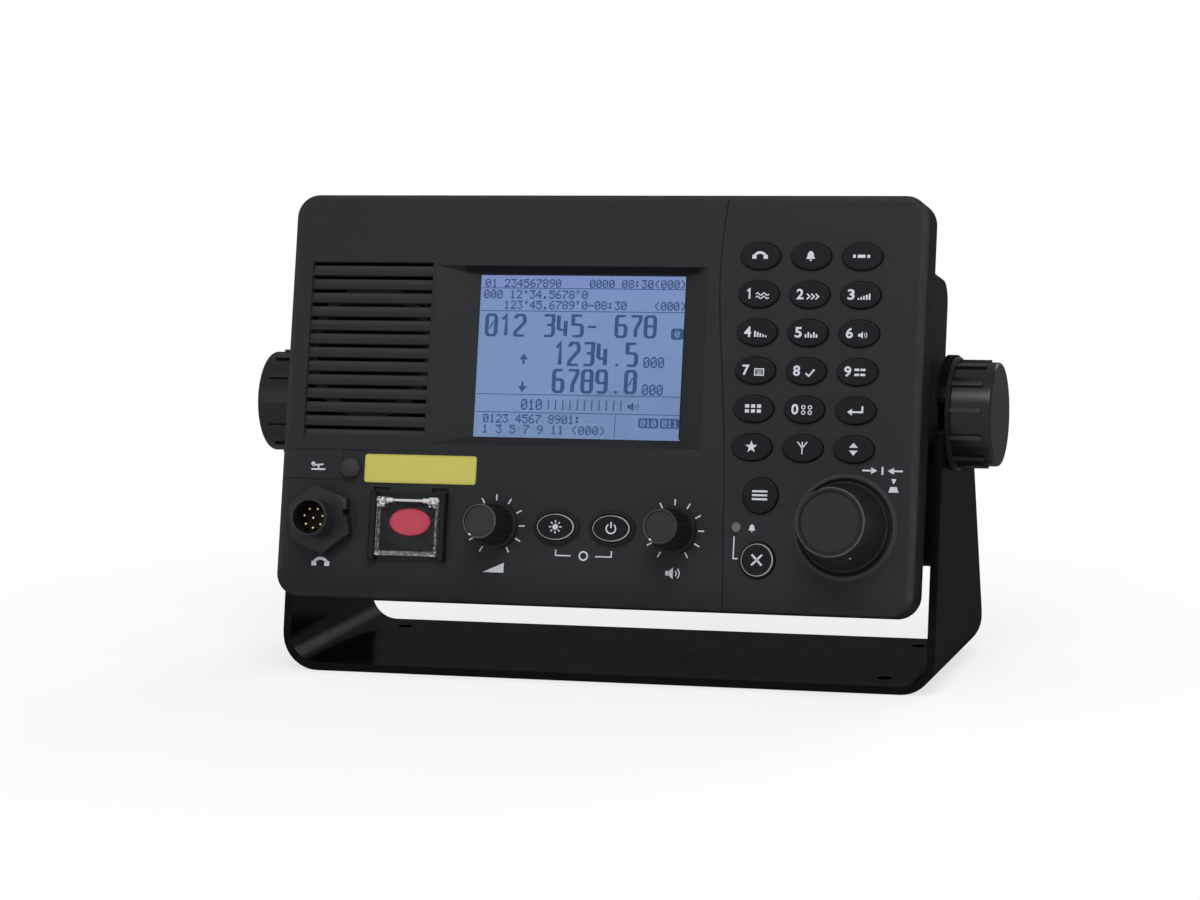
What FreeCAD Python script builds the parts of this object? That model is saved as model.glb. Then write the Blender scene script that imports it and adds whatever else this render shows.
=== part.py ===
import FreeCAD, Part
import math
import os

# Control head of a marine radio on its tilting bracket, in millimetres.
# World frame: X to the right, Y to the back, Z up. The origin is the centre of
# the bracket's four base holes, on the underside.
# Panel frame: X to the right, Y into the panel from its front face, Z up the
# face from the height of the tilt pivot.

# How far a cut runs past what it cuts, and how far joined shapes run into each other
OVERCUT = 1.0
EMBED = 0.5

# Tilt pivot
REST_TILT = 14.0
PIVOT_HEIGHT = 96.3
PIVOT_AHEAD_OF_BASE_CENTRE = 3.6
FACE_AHEAD_OF_PIVOT = 41.8
TOP_ABOVE_PIVOT = 73.2

# Front panel, laid out from left to right
EDGE_TO_GRILLE = 8.0
GRILLE_WIDTH = 47.5
GRILLE_TO_WINDOW = 17.2
WINDOW_WIDTH = 78.6
WINDOW_TO_FIRST_KEY = 28.4
KEY_PITCH_X = 18.63
KEY_COLUMNS = 3
LAST_KEY_TO_EDGE = 23.04

# Front panel, laid out from top to bottom
TOP_TO_FIRST_KEY = 22.3
KEY_PITCH_Z = 13.77
KEY_ROWS = 6
LAST_KEY_TO_LAMP = 28.75
LAMP_TO_BOTTOM = 30.0
TOP_TO_WINDOW = 29.2
WINDOW_HEIGHT = 59.8
TOP_TO_GRILLE = 25.3
CONTROL_ROW_ABOVE_BOTTOM = 28.2

# Front casing
CASING_DEPTH = 16.5
CASING_CORNER_R = 8.5
CASING_EDGE_R = 2.3
CASING_WALL = 3.0
FACE_THICKNESS = 3.0
BOSS_R = 3.5
BOSS_GAP = 1.0
STANDOFF_R = 2.8
STANDOFF_INSET = 3.8
STANDOFF_UPPER_SHIFT = 2.0
STANDOFF_LOWER_SHIFT = 3.0
SCREW_FROM_SIDE = 12.0
SCREW_FROM_TOP = 11.7
SCREW_FROM_BOTTOM = 10.7
SCREW_INNER_X = 36.0
SCREW_R = 1.5
SCREW_HOLE_CLEARANCE = 0.2
SCREW_GRIP = 9.0
SCREW_HEAD_R = 2.75
SCREW_HEAD_HEIGHT = 2.4
SCREW_SOCKET_R = 1.3
SCREW_SOCKET_DEPTH = 1.3
SCREW_HEAD_EDGE_R = 0.4

# Curved seam between the display side and the keypad side
SEAM_AHEAD_OF_KEYS = 14.0
SEAM_BULGE = 1.6
SEAM_FOOT_SHIFT = 4.6
SEAM_UPPER_SHIFT = 1.0
SEAM_LOWER_SHIFT = 0.9
SEAM_WIDTH = 0.6
SEAM_DEPTH = 0.6

# Ledge where the lower left of the face steps back
LEDGE_BELOW_GRILLE = 3.7
LEDGE_DEPTH = 0.75
LEDGE_REACH = 78.0
LABEL_PAD_WIDTH = 24.0
LABEL_PAD_HEIGHT = 11.0
LABEL_PAD_DEPTH = 0.25
SEAT_DEPTH = 0.6

# Speaker louvres
LOUVRE_COUNT = 13
LOUVRE_PITCH = 5.09
LOUVRE_SLIT = 1.3
LOUVRE_RAMP_DEPTH = 2.0

# Loudspeaker
SPEAKER_R = 25.0
SPEAKER_RIM_WIDTH = 3.5
SPEAKER_RIM_THICKNESS = 1.4
SPEAKER_BASKET_DEPTH = 11.0
SPEAKER_SHEET = 0.8
MAGNET_R = 13.0
MAGNET_DEPTH = 9.0
MAGNET_STEP = 1.0
CONE_NECK_R = 6.0
CONE_NECK_ABOVE_BASKET = 2.0
CONE_DOME = 2.0
CONE_SURROUND_WIDTH = 2.0
CONE_PAPER = 0.6

# Display window and display
WINDOW_DEPTH = 5.0
BEVEL_LEFT = 15.8
BEVEL_RIGHT = 9.2
BEVEL_TOP = 2.9
BEVEL_BOTTOM = 3.5
BEZEL_PAD_BORDER = 6.5
LENS_LAP = 2.0
LENS_THICKNESS = 1.5
DISPLAY_LAP = 3.0

# Inner boards
BOARD_DEPTH = 9.6
BOARD_THICKNESS = 1.6
BOARD_GAP = 4.0
MAT_THICKNESS = 1.4
MAT_BORDER = 0.5
PILLAR_INSET = 1.6
MAIN_BOARD_STANDOFF = 8.0
MAIN_BOARD_INSET_X = 13.0
MAIN_BOARD_INSET_Z = 7.0

# Oval keypad keys and the round and oval keys below them
KEY_WIDTH = 14.9
KEY_HEIGHT = 9.9
KEY_PROUD = 1.3
KEY_TOP_R = 0.6
KEY_GAP = 0.2
KEY_FLANGE = 0.85
KEY_FLANGE_THICKNESS = 0.8
KEY_TRAVEL = 0.8
PRESS_CLEARANCE = 0.1
ROUND_KEY_R = 6.5
ROUND_KEY_SPREAD = 11.55
ROUND_KEY_FROM_FIRST_KEY = 3.9
LOWER_KEY_WIDTH = 15.0
LOWER_KEY_HEIGHT = 10.5
LOWER_KEY_PROUD = 2.1
LOWER_KEY_DROP = 0.1
KEY_HILL_BORDER = 1.45
KEY_HILL_HEIGHT = 1.7
KEY_HILL_TOP_BORDER = 0.5

# Lamp beside the round keys
LAMP_R = 1.9
LAMP_PROUD = 0.5
LAMP_FROM_ROUND_KEY = 8.35

# Gain and volume knobs with the two oval keys between them
KNOB_PAIR_CENTRE_X = -1.5
KNOB_HALF_SPREAD = 33.7
LOWER_KEY_CENTRE_X = -1.2
LOWER_KEY_HALF_SPREAD = 10.5
KNOB_FLOAT = 0.8
KNOB_HEIGHT = 18.6
KNOB_SKIRT_R = 8.6
KNOB_SKIRT_HEIGHT = 2.0
KNOB_FOOT_R = 7.5
KNOB_TOP_R = 6.45
KNOB_DISH_R = 5.6
KNOB_DISH_DEPTH = 0.6
KNOB_SKIRT_CHAMFER = 0.5
KNOB_RIM_CHAMFER = 0.4
KNOB_FLUTES = 18
KNOB_FLUTE_R = 0.9
KNOB_FLUTE_DEPTH = 0.35
CONTROL_SHAFT_R = 3.0
SHAFT_CLEARANCE = 0.05
SHAFT_END_GAP = 0.3
BUSH_R = 3.5
BUSH_PROUD = 4.0
BUSH_CLEARANCE = 0.3
KNOB_CAP_WALL = 2.2
CONTROL_BODY = 16.0

# Tuning knob in its moulded collar
ENCODER_FROM_SIDE = 25.2
ENCODER_ABOVE_LAMP = 1.0
ENCODER_FLOAT = 0.9
ENCODER_HEIGHT = 23.6
ENCODER_FOOT_R = 16.1
ENCODER_FOOT_HEIGHT = 2.2
ENCODER_TOP_R = 12.4
ENCODER_DISH_R = 10.5
ENCODER_DISH_DEPTH = 0.7
ENCODER_FOOT_CHAMFER = 0.3
ENCODER_SHOULDER_STEP = 0.6
ENCODER_SHOULDER_RISE = 0.5
ENCODER_RIM_CHAMFER = 0.6
ENCODER_DISH_SLOPE = 0.4
ENCODER_SCALLOP_LIFT = 1.0
ENCODER_SCALLOPS = 10
ENCODER_SCALLOP_R = 5.0
ENCODER_SCALLOP_DEPTH = 0.5
ENCODER_SCALLOP_TURN = -6.0
ENCODER_PUSH = 0.6
ENCODER_BUSH_R = 4.5
ENCODER_BUSH_PROUD = 2.0
COLLAR_R = 19.1
COLLAR_GAP = 0.8
COLLAR_HEIGHT = 1.5
COLLAR_LIP = 0.5
COLLAR_EDGE = 0.3
COLLAR_EDGE_HEIGHT = 0.4

# Handset socket
SOCKET_FROM_SIDE = 17.6
SOCKET_R = 7.0
SOCKET_BORE_R = 6.1
SOCKET_THREAD_R = 7.4
SOCKET_PROUD = 14.5
SOCKET_FLANGE_R = 10.5
SOCKET_FLANGE_THICKNESS = 2.0
SOCKET_SPOT_R = 13.0
SOCKET_LIP = 0.4
INSERT_BELOW_RIM = 7.8
INSERT_TAIL = 4.0
NUT_ACROSS_FLATS = 22.4
NUT_THICKNESS = 5.0
NUT_NOTCH_WIDTH = 2.4
NUT_NOTCH_DEPTH = 1.4
NUT_CHAMFER = 2.0
NUT_TURN = -8.0
PIN_COUNT = 7
PIN_RING_R = 3.7
PIN_R = 0.5
PIN_HEIGHT = 3.1
PIN_TAIL = 2.0
PIN_TIP_R = 0.3

# Blanking plug over the key jack
PLUG_FROM_SIDE = 27.5
PLUG_BELOW_LEDGE = 7.1
PLUG_R = 3.8
PLUG_PROUD = 2.5
PLUG_BAND = 1.0
DOME_STEPS = 5
PLUG_STEM_R = 2.4
PLUG_STEM_DEPTH = 5.5

# Notice plate
PLATE_WIDTH = 43.4
PLATE_HEIGHT = 10.5
PLATE_CORNER_R = 1.2
PLATE_THICKNESS = 0.75
PLATE_BELOW_LEDGE = 1.6
PLATE_FROM_SIDE = 33.0
PLATE_TO_GUARD = 3.38

# Guarded distress button
GUARD_FROM_SIDE = 51.5
GUARD_WIDTH = 29.4
GUARD_HEIGHT = 25.2
GUARD_CORNER_R = 1.0
GUARD_BELOW_CONTROL_ROW = 1.55
GUARD_RAIL_WIDTH = 2.5
GUARD_RAIL_HEIGHT = 3.4
GUARD_PLATE_PROUD = 0.2
GUARD_TRAY_DEPTH = 1.6
GUARD_TRAY_BORDER = 1.8
GUARD_NOTCH_WIDTH = 6.5
GUARD_NOTCH_HEIGHT = 1.8
GUARD_NOTCH_DEPTH = 1.4
RED_KEY_WIDTH = 16.0
RED_KEY_HEIGHT = 10.3
RED_KEY_RAISE = 1.8
RED_KEY_SUNK = 0.4
COVER_SIDE_GAP = 0.4
COVER_END_GAP = 1.8
COVER_PROUD = 3.8
COVER_WALL = 1.2
COVER_LIFT = 0.3
COVER_EDGE_R = 0.8
COVER_SPRING_GAP = 0.3
HINGE_BELOW_TOP = 3.1
HINGE_PROUD = 2.0
HINGE_PIN_R = 0.6
HINGE_PIN_END = 1.0
KNUCKLE_R = 1.2
KNUCKLE_LENGTH = 3.2
SPRING_R = 1.05
SPRING_WIRE = 0.5
SPRING_LENGTH = 2.4

# Rear housing
BACK_FLANGE_THICKNESS = 3.0
BACK_FLANGE_INSET = 0.6
HOUSING_INSET = 4.0
HOUSING_BELOW_TOP = 22.3
HOUSING_ABOVE_BOTTOM = 21.7
HOUSING_BACK = 61.8
HOUSING_WALL = 3.0
HOUSING_BACK_R = 8.6
HOUSING_SIDE_R = 1.2
GASKET_WIDTH = 1.2
GASKET_THICKNESS = 0.8

# Rear sockets
REAR_SOCKET_X = 38.0
REAR_SOCKET_Z = -24.0
REAR_SOCKET_R = 8.0
REAR_SOCKET_FLANGE_R = 11.5
REAR_SOCKET_FLANGE_THICKNESS = 2.0
REAR_SOCKET_LENGTH = 8.5
REAR_SOCKET_WALL = 1.6
REAR_SOCKET_DEPTH = 7.0
REAR_SOCKET_TAIL = 2.0

# Clamping at the pivot
PIVOT_BOSS_R = 19.0
INSERT_R = 6.0
INSERT_LENGTH = 14.0
INSERT_BOSS_WALL = 3.0
PAD_THICKNESS = 1.5
PAD_HOLE_R = 7.0
WASHER_R = 20.5
WASHER_THICKNESS = 1.5
STUD_R = 4.0
STUD_ENGAGEMENT = 10.0
STUD_IN_KNOB = 10.0
STUD_CLEARANCE = 0.3
THREAD_CLEARANCE = 0.05
CLAMP_KNOB_R = 18.85
CLAMP_KNOB_LENGTH = 14.9
CLAMP_KNOB_EDGE_R = 1.2
CLAMP_RIBS = 12
CLAMP_RIB_HEIGHT = 0.85
CLAMP_RIB_WIDTH = 1.7
CLAMP_RIB_LENGTH = 11.3
LEFT_KNOB_TURN = 7.0
RIGHT_KNOB_TURN = 2.4

# Bracket
BRACKET_THICKNESS = 3.0
BRACKET_DEPTH = 87.5
BRACKET_BEND_R = 10.0
ARM_TOP_R = 21.3
ARM_STRAIGHT = 15.0
ARM_TOP_REAR_R = 30.0
ARM_SLOT_RISE = 4.5
ARM_SLOT_CORNER_R = 2.0
BASE_HOLE_R = 2.75
BASE_HOLE_SPACING_X = 206.0
BASE_HOLE_SPACING_Y = 59.5

# Places that follow from the sizes above
PANEL_WIDTH = (EDGE_TO_GRILLE + GRILLE_WIDTH + GRILLE_TO_WINDOW + WINDOW_WIDTH + WINDOW_TO_FIRST_KEY
               + (KEY_COLUMNS - 1) * KEY_PITCH_X + LAST_KEY_TO_EDGE)
SPEAKER_COLUMN = (TOP_TO_GRILLE + LOUVRE_COUNT * LOUVRE_PITCH + LEDGE_BELOW_GRILLE
                  + PLATE_BELOW_LEDGE + PLATE_HEIGHT + PLATE_TO_GUARD + GUARD_HEIGHT / 2
                  - GUARD_BELOW_CONTROL_ROW + CONTROL_ROW_ABOVE_BOTTOM)
KEYPAD_COLUMN = (TOP_TO_FIRST_KEY + (KEY_ROWS - 1) * KEY_PITCH_Z + LAST_KEY_TO_LAMP
                 + LAMP_TO_BOTTOM)
PANEL_HEIGHT = max(SPEAKER_COLUMN, KEYPAD_COLUMN)
RIGHT = PANEL_WIDTH / 2
LEFT = -RIGHT
TOP = TOP_ABOVE_PIVOT
BOTTOM = TOP - PANEL_HEIGHT
FIRST_KEY_Z = TOP - TOP_TO_FIRST_KEY
LAST_KEY_Z = FIRST_KEY_Z - (KEY_ROWS - 1) * KEY_PITCH_Z
LAMP_Z = BOTTOM + LAMP_TO_BOTTOM
ENCODER_Z = LAMP_Z + ENCODER_ABOVE_LAMP
GRILLE_LEFT = LEFT + EDGE_TO_GRILLE
GRILLE_RIGHT = GRILLE_LEFT + GRILLE_WIDTH
GRILLE_TOP = TOP - TOP_TO_GRILLE
GRILLE_BOTTOM = GRILLE_TOP - LOUVRE_COUNT * LOUVRE_PITCH
WINDOW_LEFT = GRILLE_RIGHT + GRILLE_TO_WINDOW
WINDOW_RIGHT = WINDOW_LEFT + WINDOW_WIDTH
WINDOW_TOP = TOP - TOP_TO_WINDOW
WINDOW_BOTTOM = WINDOW_TOP - WINDOW_HEIGHT
FIRST_KEY_X = WINDOW_RIGHT + WINDOW_TO_FIRST_KEY
LAST_KEY_X = FIRST_KEY_X + (KEY_COLUMNS - 1) * KEY_PITCH_X
ENCODER_X = RIGHT - ENCODER_FROM_SIDE
ROUND_KEY_X = FIRST_KEY_X + ROUND_KEY_FROM_FIRST_KEY
MENU_KEY_Z = LAMP_Z + ROUND_KEY_SPREAD
CANCEL_KEY_Z = LAMP_Z - ROUND_KEY_SPREAD
LAMP_X = ROUND_KEY_X - LAMP_FROM_ROUND_KEY
CONTROL_ROW_Z = BOTTOM + CONTROL_ROW_ABOVE_BOTTOM
LOWER_KEY_Z = CONTROL_ROW_Z - LOWER_KEY_DROP
GAIN_X = KNOB_PAIR_CENTRE_X - KNOB_HALF_SPREAD
VOLUME_X = KNOB_PAIR_CENTRE_X + KNOB_HALF_SPREAD
DIMMER_X = LOWER_KEY_CENTRE_X - LOWER_KEY_HALF_SPREAD
POWER_X = LOWER_KEY_CENTRE_X + LOWER_KEY_HALF_SPREAD
LEDGE_Z = GRILLE_BOTTOM - LEDGE_BELOW_GRILLE
SOCKET_X = LEFT + SOCKET_FROM_SIDE
GUARD_X = LEFT + GUARD_FROM_SIDE
GUARD_Z = CONTROL_ROW_Z - GUARD_BELOW_CONTROL_ROW
RED_KEY_Z = GUARD_Z + RED_KEY_RAISE
PLUG_X = LEFT + PLUG_FROM_SIDE
PLUG_Z = LEDGE_Z - PLUG_BELOW_LEDGE
FLANGE_BACK = CASING_DEPTH + BACK_FLANGE_THICKNESS
HOUSING_RIGHT = RIGHT - HOUSING_INSET
HOUSING_TOP = TOP - HOUSING_BELOW_TOP
HOUSING_BOTTOM = BOTTOM + HOUSING_ABOVE_BOTTOM
ARM_INSIDE = RIGHT + PAD_THICKNESS
ARM_OUTSIDE = ARM_INSIDE + BRACKET_THICKNESS
KNOB_INNER_FACE = ARM_OUTSIDE + WASHER_THICKNESS
FLANGE_TOP_DEPTH = FACE_THICKNESS + KEY_GAP
FLANGE_REAR_DEPTH = FLANGE_TOP_DEPTH + KEY_FLANGE_THICKNESS

V = FreeCAD.Vector
INTO_PANEL = V(0, 1, 0)


def block(x0, x1, y0, y1, z0, z1):
    """Box between the given limits."""
    return Part.makeBox(x1 - x0, y1 - y0, z1 - z0, V(x0, y0, z0))


def disc(radius, x, z, y0, y1):
    """Cylinder square to the panel from depth y0 to depth y1."""
    return Part.makeCylinder(radius, y1 - y0, V(x, y0, z), INTO_PANEL)


def rod(radius, x0, x1, y, z):
    """Cylinder along X."""
    return Part.makeCylinder(radius, x1 - x0, V(x0, y, z), V(1, 0, 0))


def oval(width, height, x, z, y0, y1):
    """Elliptical column square to the panel, wider than it is high."""
    ellipse = Part.Ellipse(V(x + width / 2, y0, z), V(x, y0, z + height / 2), V(x, y0, z))
    face = Part.Face(Part.Wire([ellipse.toShape()]))
    return face.extrude(V(0, y1 - y0, 0))


def turned(profile, x, z):
    """Solid of revolution about the panel's normal; the profile lists radius and depth."""
    points = [V(x + radius, depth, z) for radius, depth in profile]
    face = Part.Face(Part.makePolygon(points + [points[0]]))
    return face.revolve(V(x, 0, z), INTO_PANEL, 360)


def rounded_slab(x0, x1, z0, z1, radius, y0, y1):
    """Rectangle with round corners, from depth y0 to depth y1."""
    slab = block(x0, x1, y0, y1, z0, z1)
    corners = [edge for edge in slab.Edges if abs(edge.tangentAt(edge.FirstParameter).y) > 0.9]
    return slab.makeFillet(radius, corners)


def edges_at_depth(shape, depth):
    """Edges that lie wholly at one depth."""
    return [edge for edge in shape.Edges
            if abs(edge.BoundBox.YMin - depth) < 1e-4 and abs(edge.BoundBox.YMax - depth) < 1e-4]


def fused(shapes):
    """One solid from overlapping shapes, with no seams left between flush faces."""
    first = shapes[0]
    return first.fuse(shapes[1:]).removeSplitter()


def in_world(shape):
    """Moves a shape from the panel frame to the world frame at the rest tilt."""
    moved = shape.copy()
    moved.translate(V(0, -FACE_AHEAD_OF_PIVOT, 0))
    moved.rotate(V(0, 0, 0), V(1, 0, 0), -REST_TILT)
    moved.translate(V(0, -PIVOT_AHEAD_OF_BASE_CENTRE, PIVOT_HEIGHT))
    return moved


def save(name, shape):
    """Writes one node; a list becomes a group of separate solids."""
    if isinstance(shape, list):
        shape = Part.makeCompound(shape)
    shape.exportStep("parts/" + name + ".step")


def screw_places():
    """Where the casing screws stand on the panel."""
    upper = TOP - SCREW_FROM_TOP
    lower = BOTTOM + SCREW_FROM_BOTTOM
    outer = RIGHT - SCREW_FROM_SIDE
    return [(x, z) for z in (upper, lower) for x in (-outer, -SCREW_INNER_X, SCREW_INNER_X, outer)]


def key_places():
    """Centres of the keypad's keys, row by row from the top left."""
    return [(FIRST_KEY_X + column * KEY_PITCH_X, FIRST_KEY_Z - row * KEY_PITCH_Z)
            for row in range(KEY_ROWS) for column in range(KEY_COLUMNS)]


def board_limits():
    """Outer limits of the control board behind the keys and the display."""
    left = WINDOW_LEFT - DISPLAY_LAP - BOARD_GAP
    right = LAST_KEY_X + KEY_WIDTH / 2 + KEY_FLANGE + 2 * STANDOFF_R + BOSS_GAP
    bottom = BOTTOM + SCREW_FROM_BOTTOM + BOSS_R + BOSS_GAP
    top = TOP - SCREW_FROM_TOP - BOSS_R - BOSS_GAP
    return left, right, bottom, top


def standoff_places():
    """Posts of the front casing that carry the control board."""
    left, right, bottom, top = board_limits()
    inset = STANDOFF_INSET
    between = (WINDOW_RIGHT + DISPLAY_LAP + FIRST_KEY_X - KEY_WIDTH / 2 - KEY_FLANGE) / 2
    guard_left = GUARD_X - GUARD_WIDTH / 2 + STANDOFF_R
    low = LEDGE_Z - inset
    return [(left + inset, top - inset + STANDOFF_UPPER_SHIFT), (between, top - inset),
            (right - inset, top - inset), (between, low), (right - inset, low),
            (GUARD_X + GUARD_WIDTH / 2 + inset, low - STANDOFF_LOWER_SHIFT),
            (between, bottom + inset), (guard_left, bottom + inset - STANDOFF_UPPER_SHIFT)]


def casing_shell():
    """Open-backed shell with rounded corners and a rounded front edge."""
    outer = rounded_slab(LEFT, RIGHT, BOTTOM, TOP, CASING_CORNER_R, 0, CASING_DEPTH)
    outer = outer.makeFillet(CASING_EDGE_R, edges_at_depth(outer, 0))
    hollow = rounded_slab(LEFT + CASING_WALL, RIGHT - CASING_WALL, BOTTOM + CASING_WALL, TOP - CASING_WALL,
                          CASING_CORNER_R - CASING_WALL, FACE_THICKNESS, CASING_DEPTH + OVERCUT)
    return outer.cut(hollow)


def ledge_wedge():
    """What the ledge takes off: nothing at its inner end, most at the panel's side."""
    inner = LEFT + LEDGE_REACH
    slope = LEDGE_DEPTH / LEDGE_REACH
    over = OVERCUT
    low = BOTTOM - over
    points = [V(inner, 0, low), V(LEFT - over, slope * (LEDGE_REACH + over), low),
              V(LEFT - over, -over, low), V(inner, -over, low)]
    face = Part.Face(Part.makePolygon(points + [points[0]]))
    label_pad = block(LEFT - 2 * over, LEFT + LABEL_PAD_WIDTH, LABEL_PAD_DEPTH, LEDGE_DEPTH + over,
                      LEDGE_Z - LABEL_PAD_HEIGHT, LEDGE_Z + over)
    return face.extrude(V(0, 0, LEDGE_Z - low)).cut(label_pad)


def seam_groove():
    """Groove along the curve that parts the display side from the keypad side."""
    top_x = FIRST_KEY_X - SEAM_AHEAD_OF_KEYS + SEAM_BULGE
    middle_x = top_x - SEAM_BULGE
    path = [V(top_x, -OVERCUT, TOP + OVERCUT),
            V(middle_x - SEAM_UPPER_SHIFT, -OVERCUT, TOP - TOP_TO_WINDOW),
            V(middle_x + SEAM_FOOT_SHIFT / 2, -OVERCUT, (TOP + BOTTOM) / 2),
            V(middle_x + SEAM_FOOT_SHIFT, -OVERCUT, CONTROL_ROW_Z),
            V(middle_x + SEAM_FOOT_SHIFT + SEAM_LOWER_SHIFT, -OVERCUT, BOTTOM - OVERCUT)]
    near = Part.BSplineCurve()
    near.interpolate(path)
    far = Part.BSplineCurve()
    far.interpolate([point + V(SEAM_WIDTH, 0, 0) for point in path])
    ends = [Part.makeLine(path[0], path[0] + V(SEAM_WIDTH, 0, 0)),
            Part.makeLine(path[-1], path[-1] + V(SEAM_WIDTH, 0, 0))]
    outline = Part.Wire(Part.__sortEdges__([near.toShape(), far.toShape()] + ends))
    return Part.Face(outline).extrude(V(0, OVERCUT + SEAM_DEPTH, 0))


def louvre_cuts():
    """One cut per louvre: a slit at its top and a ramp that runs out to the face below."""
    cuts = []
    for index in range(LOUVRE_COUNT):
        high = GRILLE_TOP - index * LOUVRE_PITCH
        low = high - LOUVRE_PITCH
        through = FACE_THICKNESS + OVERCUT
        side = [(-OVERCUT, high), (through, high), (through, high - LOUVRE_SLIT),
                (LOUVRE_RAMP_DEPTH, high - LOUVRE_SLIT), (0, low), (-OVERCUT, low)]
        points = [V(GRILLE_LEFT, y, z) for y, z in side]
        face = Part.Face(Part.makePolygon(points + [points[0]]))
        cuts.append(face.extrude(V(GRILLE_WIDTH, 0, 0)))
    return cuts


def window_cut():
    """Bevelled mouth that narrows to the display window."""
    def mouth(left, right, bottom, top, depth):
        points = [V(WINDOW_LEFT - left, depth, WINDOW_BOTTOM - bottom),
                  V(WINDOW_RIGHT + right, depth, WINDOW_BOTTOM - bottom),
                  V(WINDOW_RIGHT + right, depth, WINDOW_TOP + top),
                  V(WINDOW_LEFT - left, depth, WINDOW_TOP + top)]
        return Part.makePolygon(points + [points[0]])
    front = mouth(BEVEL_LEFT, BEVEL_RIGHT, BEVEL_BOTTOM, BEVEL_TOP, 0)
    back = mouth(0, 0, 0, 0, WINDOW_DEPTH)
    bevel = Part.makeLoft([front, back], True, True)
    through = block(WINDOW_LEFT, WINDOW_RIGHT, WINDOW_DEPTH - EMBED, WINDOW_DEPTH + OVERCUT,
                    WINDOW_BOTTOM, WINDOW_TOP)
    return [bevel, through]


def oval_hole(width, height, x, z):
    """Hole for an oval key, with the key's running gap."""
    return oval(width + 2 * KEY_GAP, height + 2 * KEY_GAP, x, z, -LOWER_KEY_PROUD - OVERCUT,
                FACE_THICKNESS + OVERCUT)


def key_hill(x):
    """Sloped rise of the face around one of the two lower oval keys."""
    def ring(border, depth):
        width = LOWER_KEY_WIDTH + 2 * border
        height = LOWER_KEY_HEIGHT + 2 * border
        centre = V(x, depth, LOWER_KEY_Z)
        ellipse = Part.Ellipse(centre + V(width / 2, 0, 0), centre + V(0, 0, height / 2), centre)
        return Part.Wire([ellipse.toShape()])
    foot = ring(KEY_HILL_BORDER, 0)
    crest = ring(KEY_HILL_TOP_BORDER, -KEY_HILL_HEIGHT)
    rise = Part.makeLoft([foot, crest], True, True)
    root = oval(LOWER_KEY_WIDTH + 2 * KEY_HILL_BORDER, LOWER_KEY_HEIGHT + 2 * KEY_HILL_BORDER,
                x, LOWER_KEY_Z, 0, FACE_THICKNESS / 2)
    return [rise, root]


def encoder_collar():
    """Raised ring moulded around the tuning knob."""
    inner = ENCODER_FOOT_R + COLLAR_GAP
    middle = (inner + COLLAR_R) / 2
    return turned([(inner, FACE_THICKNESS / 2), (inner, COLLAR_LIP - COLLAR_HEIGHT),
                   (inner + COLLAR_LIP, -COLLAR_HEIGHT), (middle, -COLLAR_HEIGHT),
                   (COLLAR_R - COLLAR_EDGE, -COLLAR_EDGE_HEIGHT), (COLLAR_R, 0),
                   (COLLAR_R, FACE_THICKNESS / 2)], ENCODER_X, ENCODER_Z)


def front_casing():
    """Moulded front: face, rim, bezel, louvres, bosses and every opening for a control."""
    casing = casing_shell().cut(ledge_wedge())
    added = [block(WINDOW_LEFT - BEZEL_PAD_BORDER, WINDOW_RIGHT + BEZEL_PAD_BORDER, FACE_THICKNESS - EMBED,
                   WINDOW_DEPTH, WINDOW_BOTTOM - BEZEL_PAD_BORDER, WINDOW_TOP + BEZEL_PAD_BORDER)]
    added += [disc(BOSS_R, x, z, FACE_THICKNESS - EMBED, CASING_DEPTH) for x, z in screw_places()]
    added += [disc(STANDOFF_R, x, z, FACE_THICKNESS - EMBED, BOARD_DEPTH) for x, z in standoff_places()]
    added += [disc(SOCKET_SPOT_R, SOCKET_X, CONTROL_ROW_Z, 0, FACE_THICKNESS), encoder_collar()]
    added += key_hill(DIMMER_X) + key_hill(POWER_X)
    casing = casing.fuse(added).removeSplitter()

    through = FACE_THICKNESS + OVERCUT
    cuts = window_cut() + louvre_cuts() + [seam_groove()]
    cuts += [oval_hole(KEY_WIDTH, KEY_HEIGHT, x, z) for x, z in key_places()]
    cuts += [oval_hole(LOWER_KEY_WIDTH, LOWER_KEY_HEIGHT, x, LOWER_KEY_Z) for x in (DIMMER_X, POWER_X)]
    cuts += [disc(ROUND_KEY_R + KEY_GAP, ROUND_KEY_X, z, -OVERCUT, through)
             for z in (MENU_KEY_Z, CANCEL_KEY_Z)]
    cuts += [disc(LAMP_R, LAMP_X, LAMP_Z, -OVERCUT, through)]
    cuts += [disc(BUSH_R, x, CONTROL_ROW_Z, -OVERCUT, through) for x in (GAIN_X, VOLUME_X)]
    cuts += [disc(ENCODER_BUSH_R, ENCODER_X, ENCODER_Z, -OVERCUT, through)]
    cuts += [disc(SOCKET_THREAD_R, SOCKET_X, CONTROL_ROW_Z, -OVERCUT, through)]
    cuts += [disc(PLUG_STEM_R, PLUG_X, PLUG_Z, -OVERCUT, through)]
    cuts += [disc(PLUG_R, PLUG_X, PLUG_Z, -OVERCUT, SEAT_DEPTH)]
    cuts += [plate_slab(-OVERCUT, SEAT_DEPTH)]
    cuts += [guard_slab(-OVERCUT, SEAT_DEPTH), guard_tray(-OVERCUT, GUARD_TRAY_DEPTH),
             oval_hole(RED_KEY_WIDTH, RED_KEY_HEIGHT, GUARD_X, RED_KEY_Z)]
    cuts += guard_notches()
    cuts += [disc(SCREW_R, x, z, FACE_THICKNESS, CASING_DEPTH + OVERCUT) for x, z in screw_places()]
    return casing.cut(cuts)


def plate_slab(y0, y1):
    """Outline of the notice plate between two depths."""
    left = LEFT + PLATE_FROM_SIDE
    top = LEDGE_Z - PLATE_BELOW_LEDGE
    return rounded_slab(left, left + PLATE_WIDTH, top - PLATE_HEIGHT, top, PLATE_CORNER_R, y0, y1)


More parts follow.
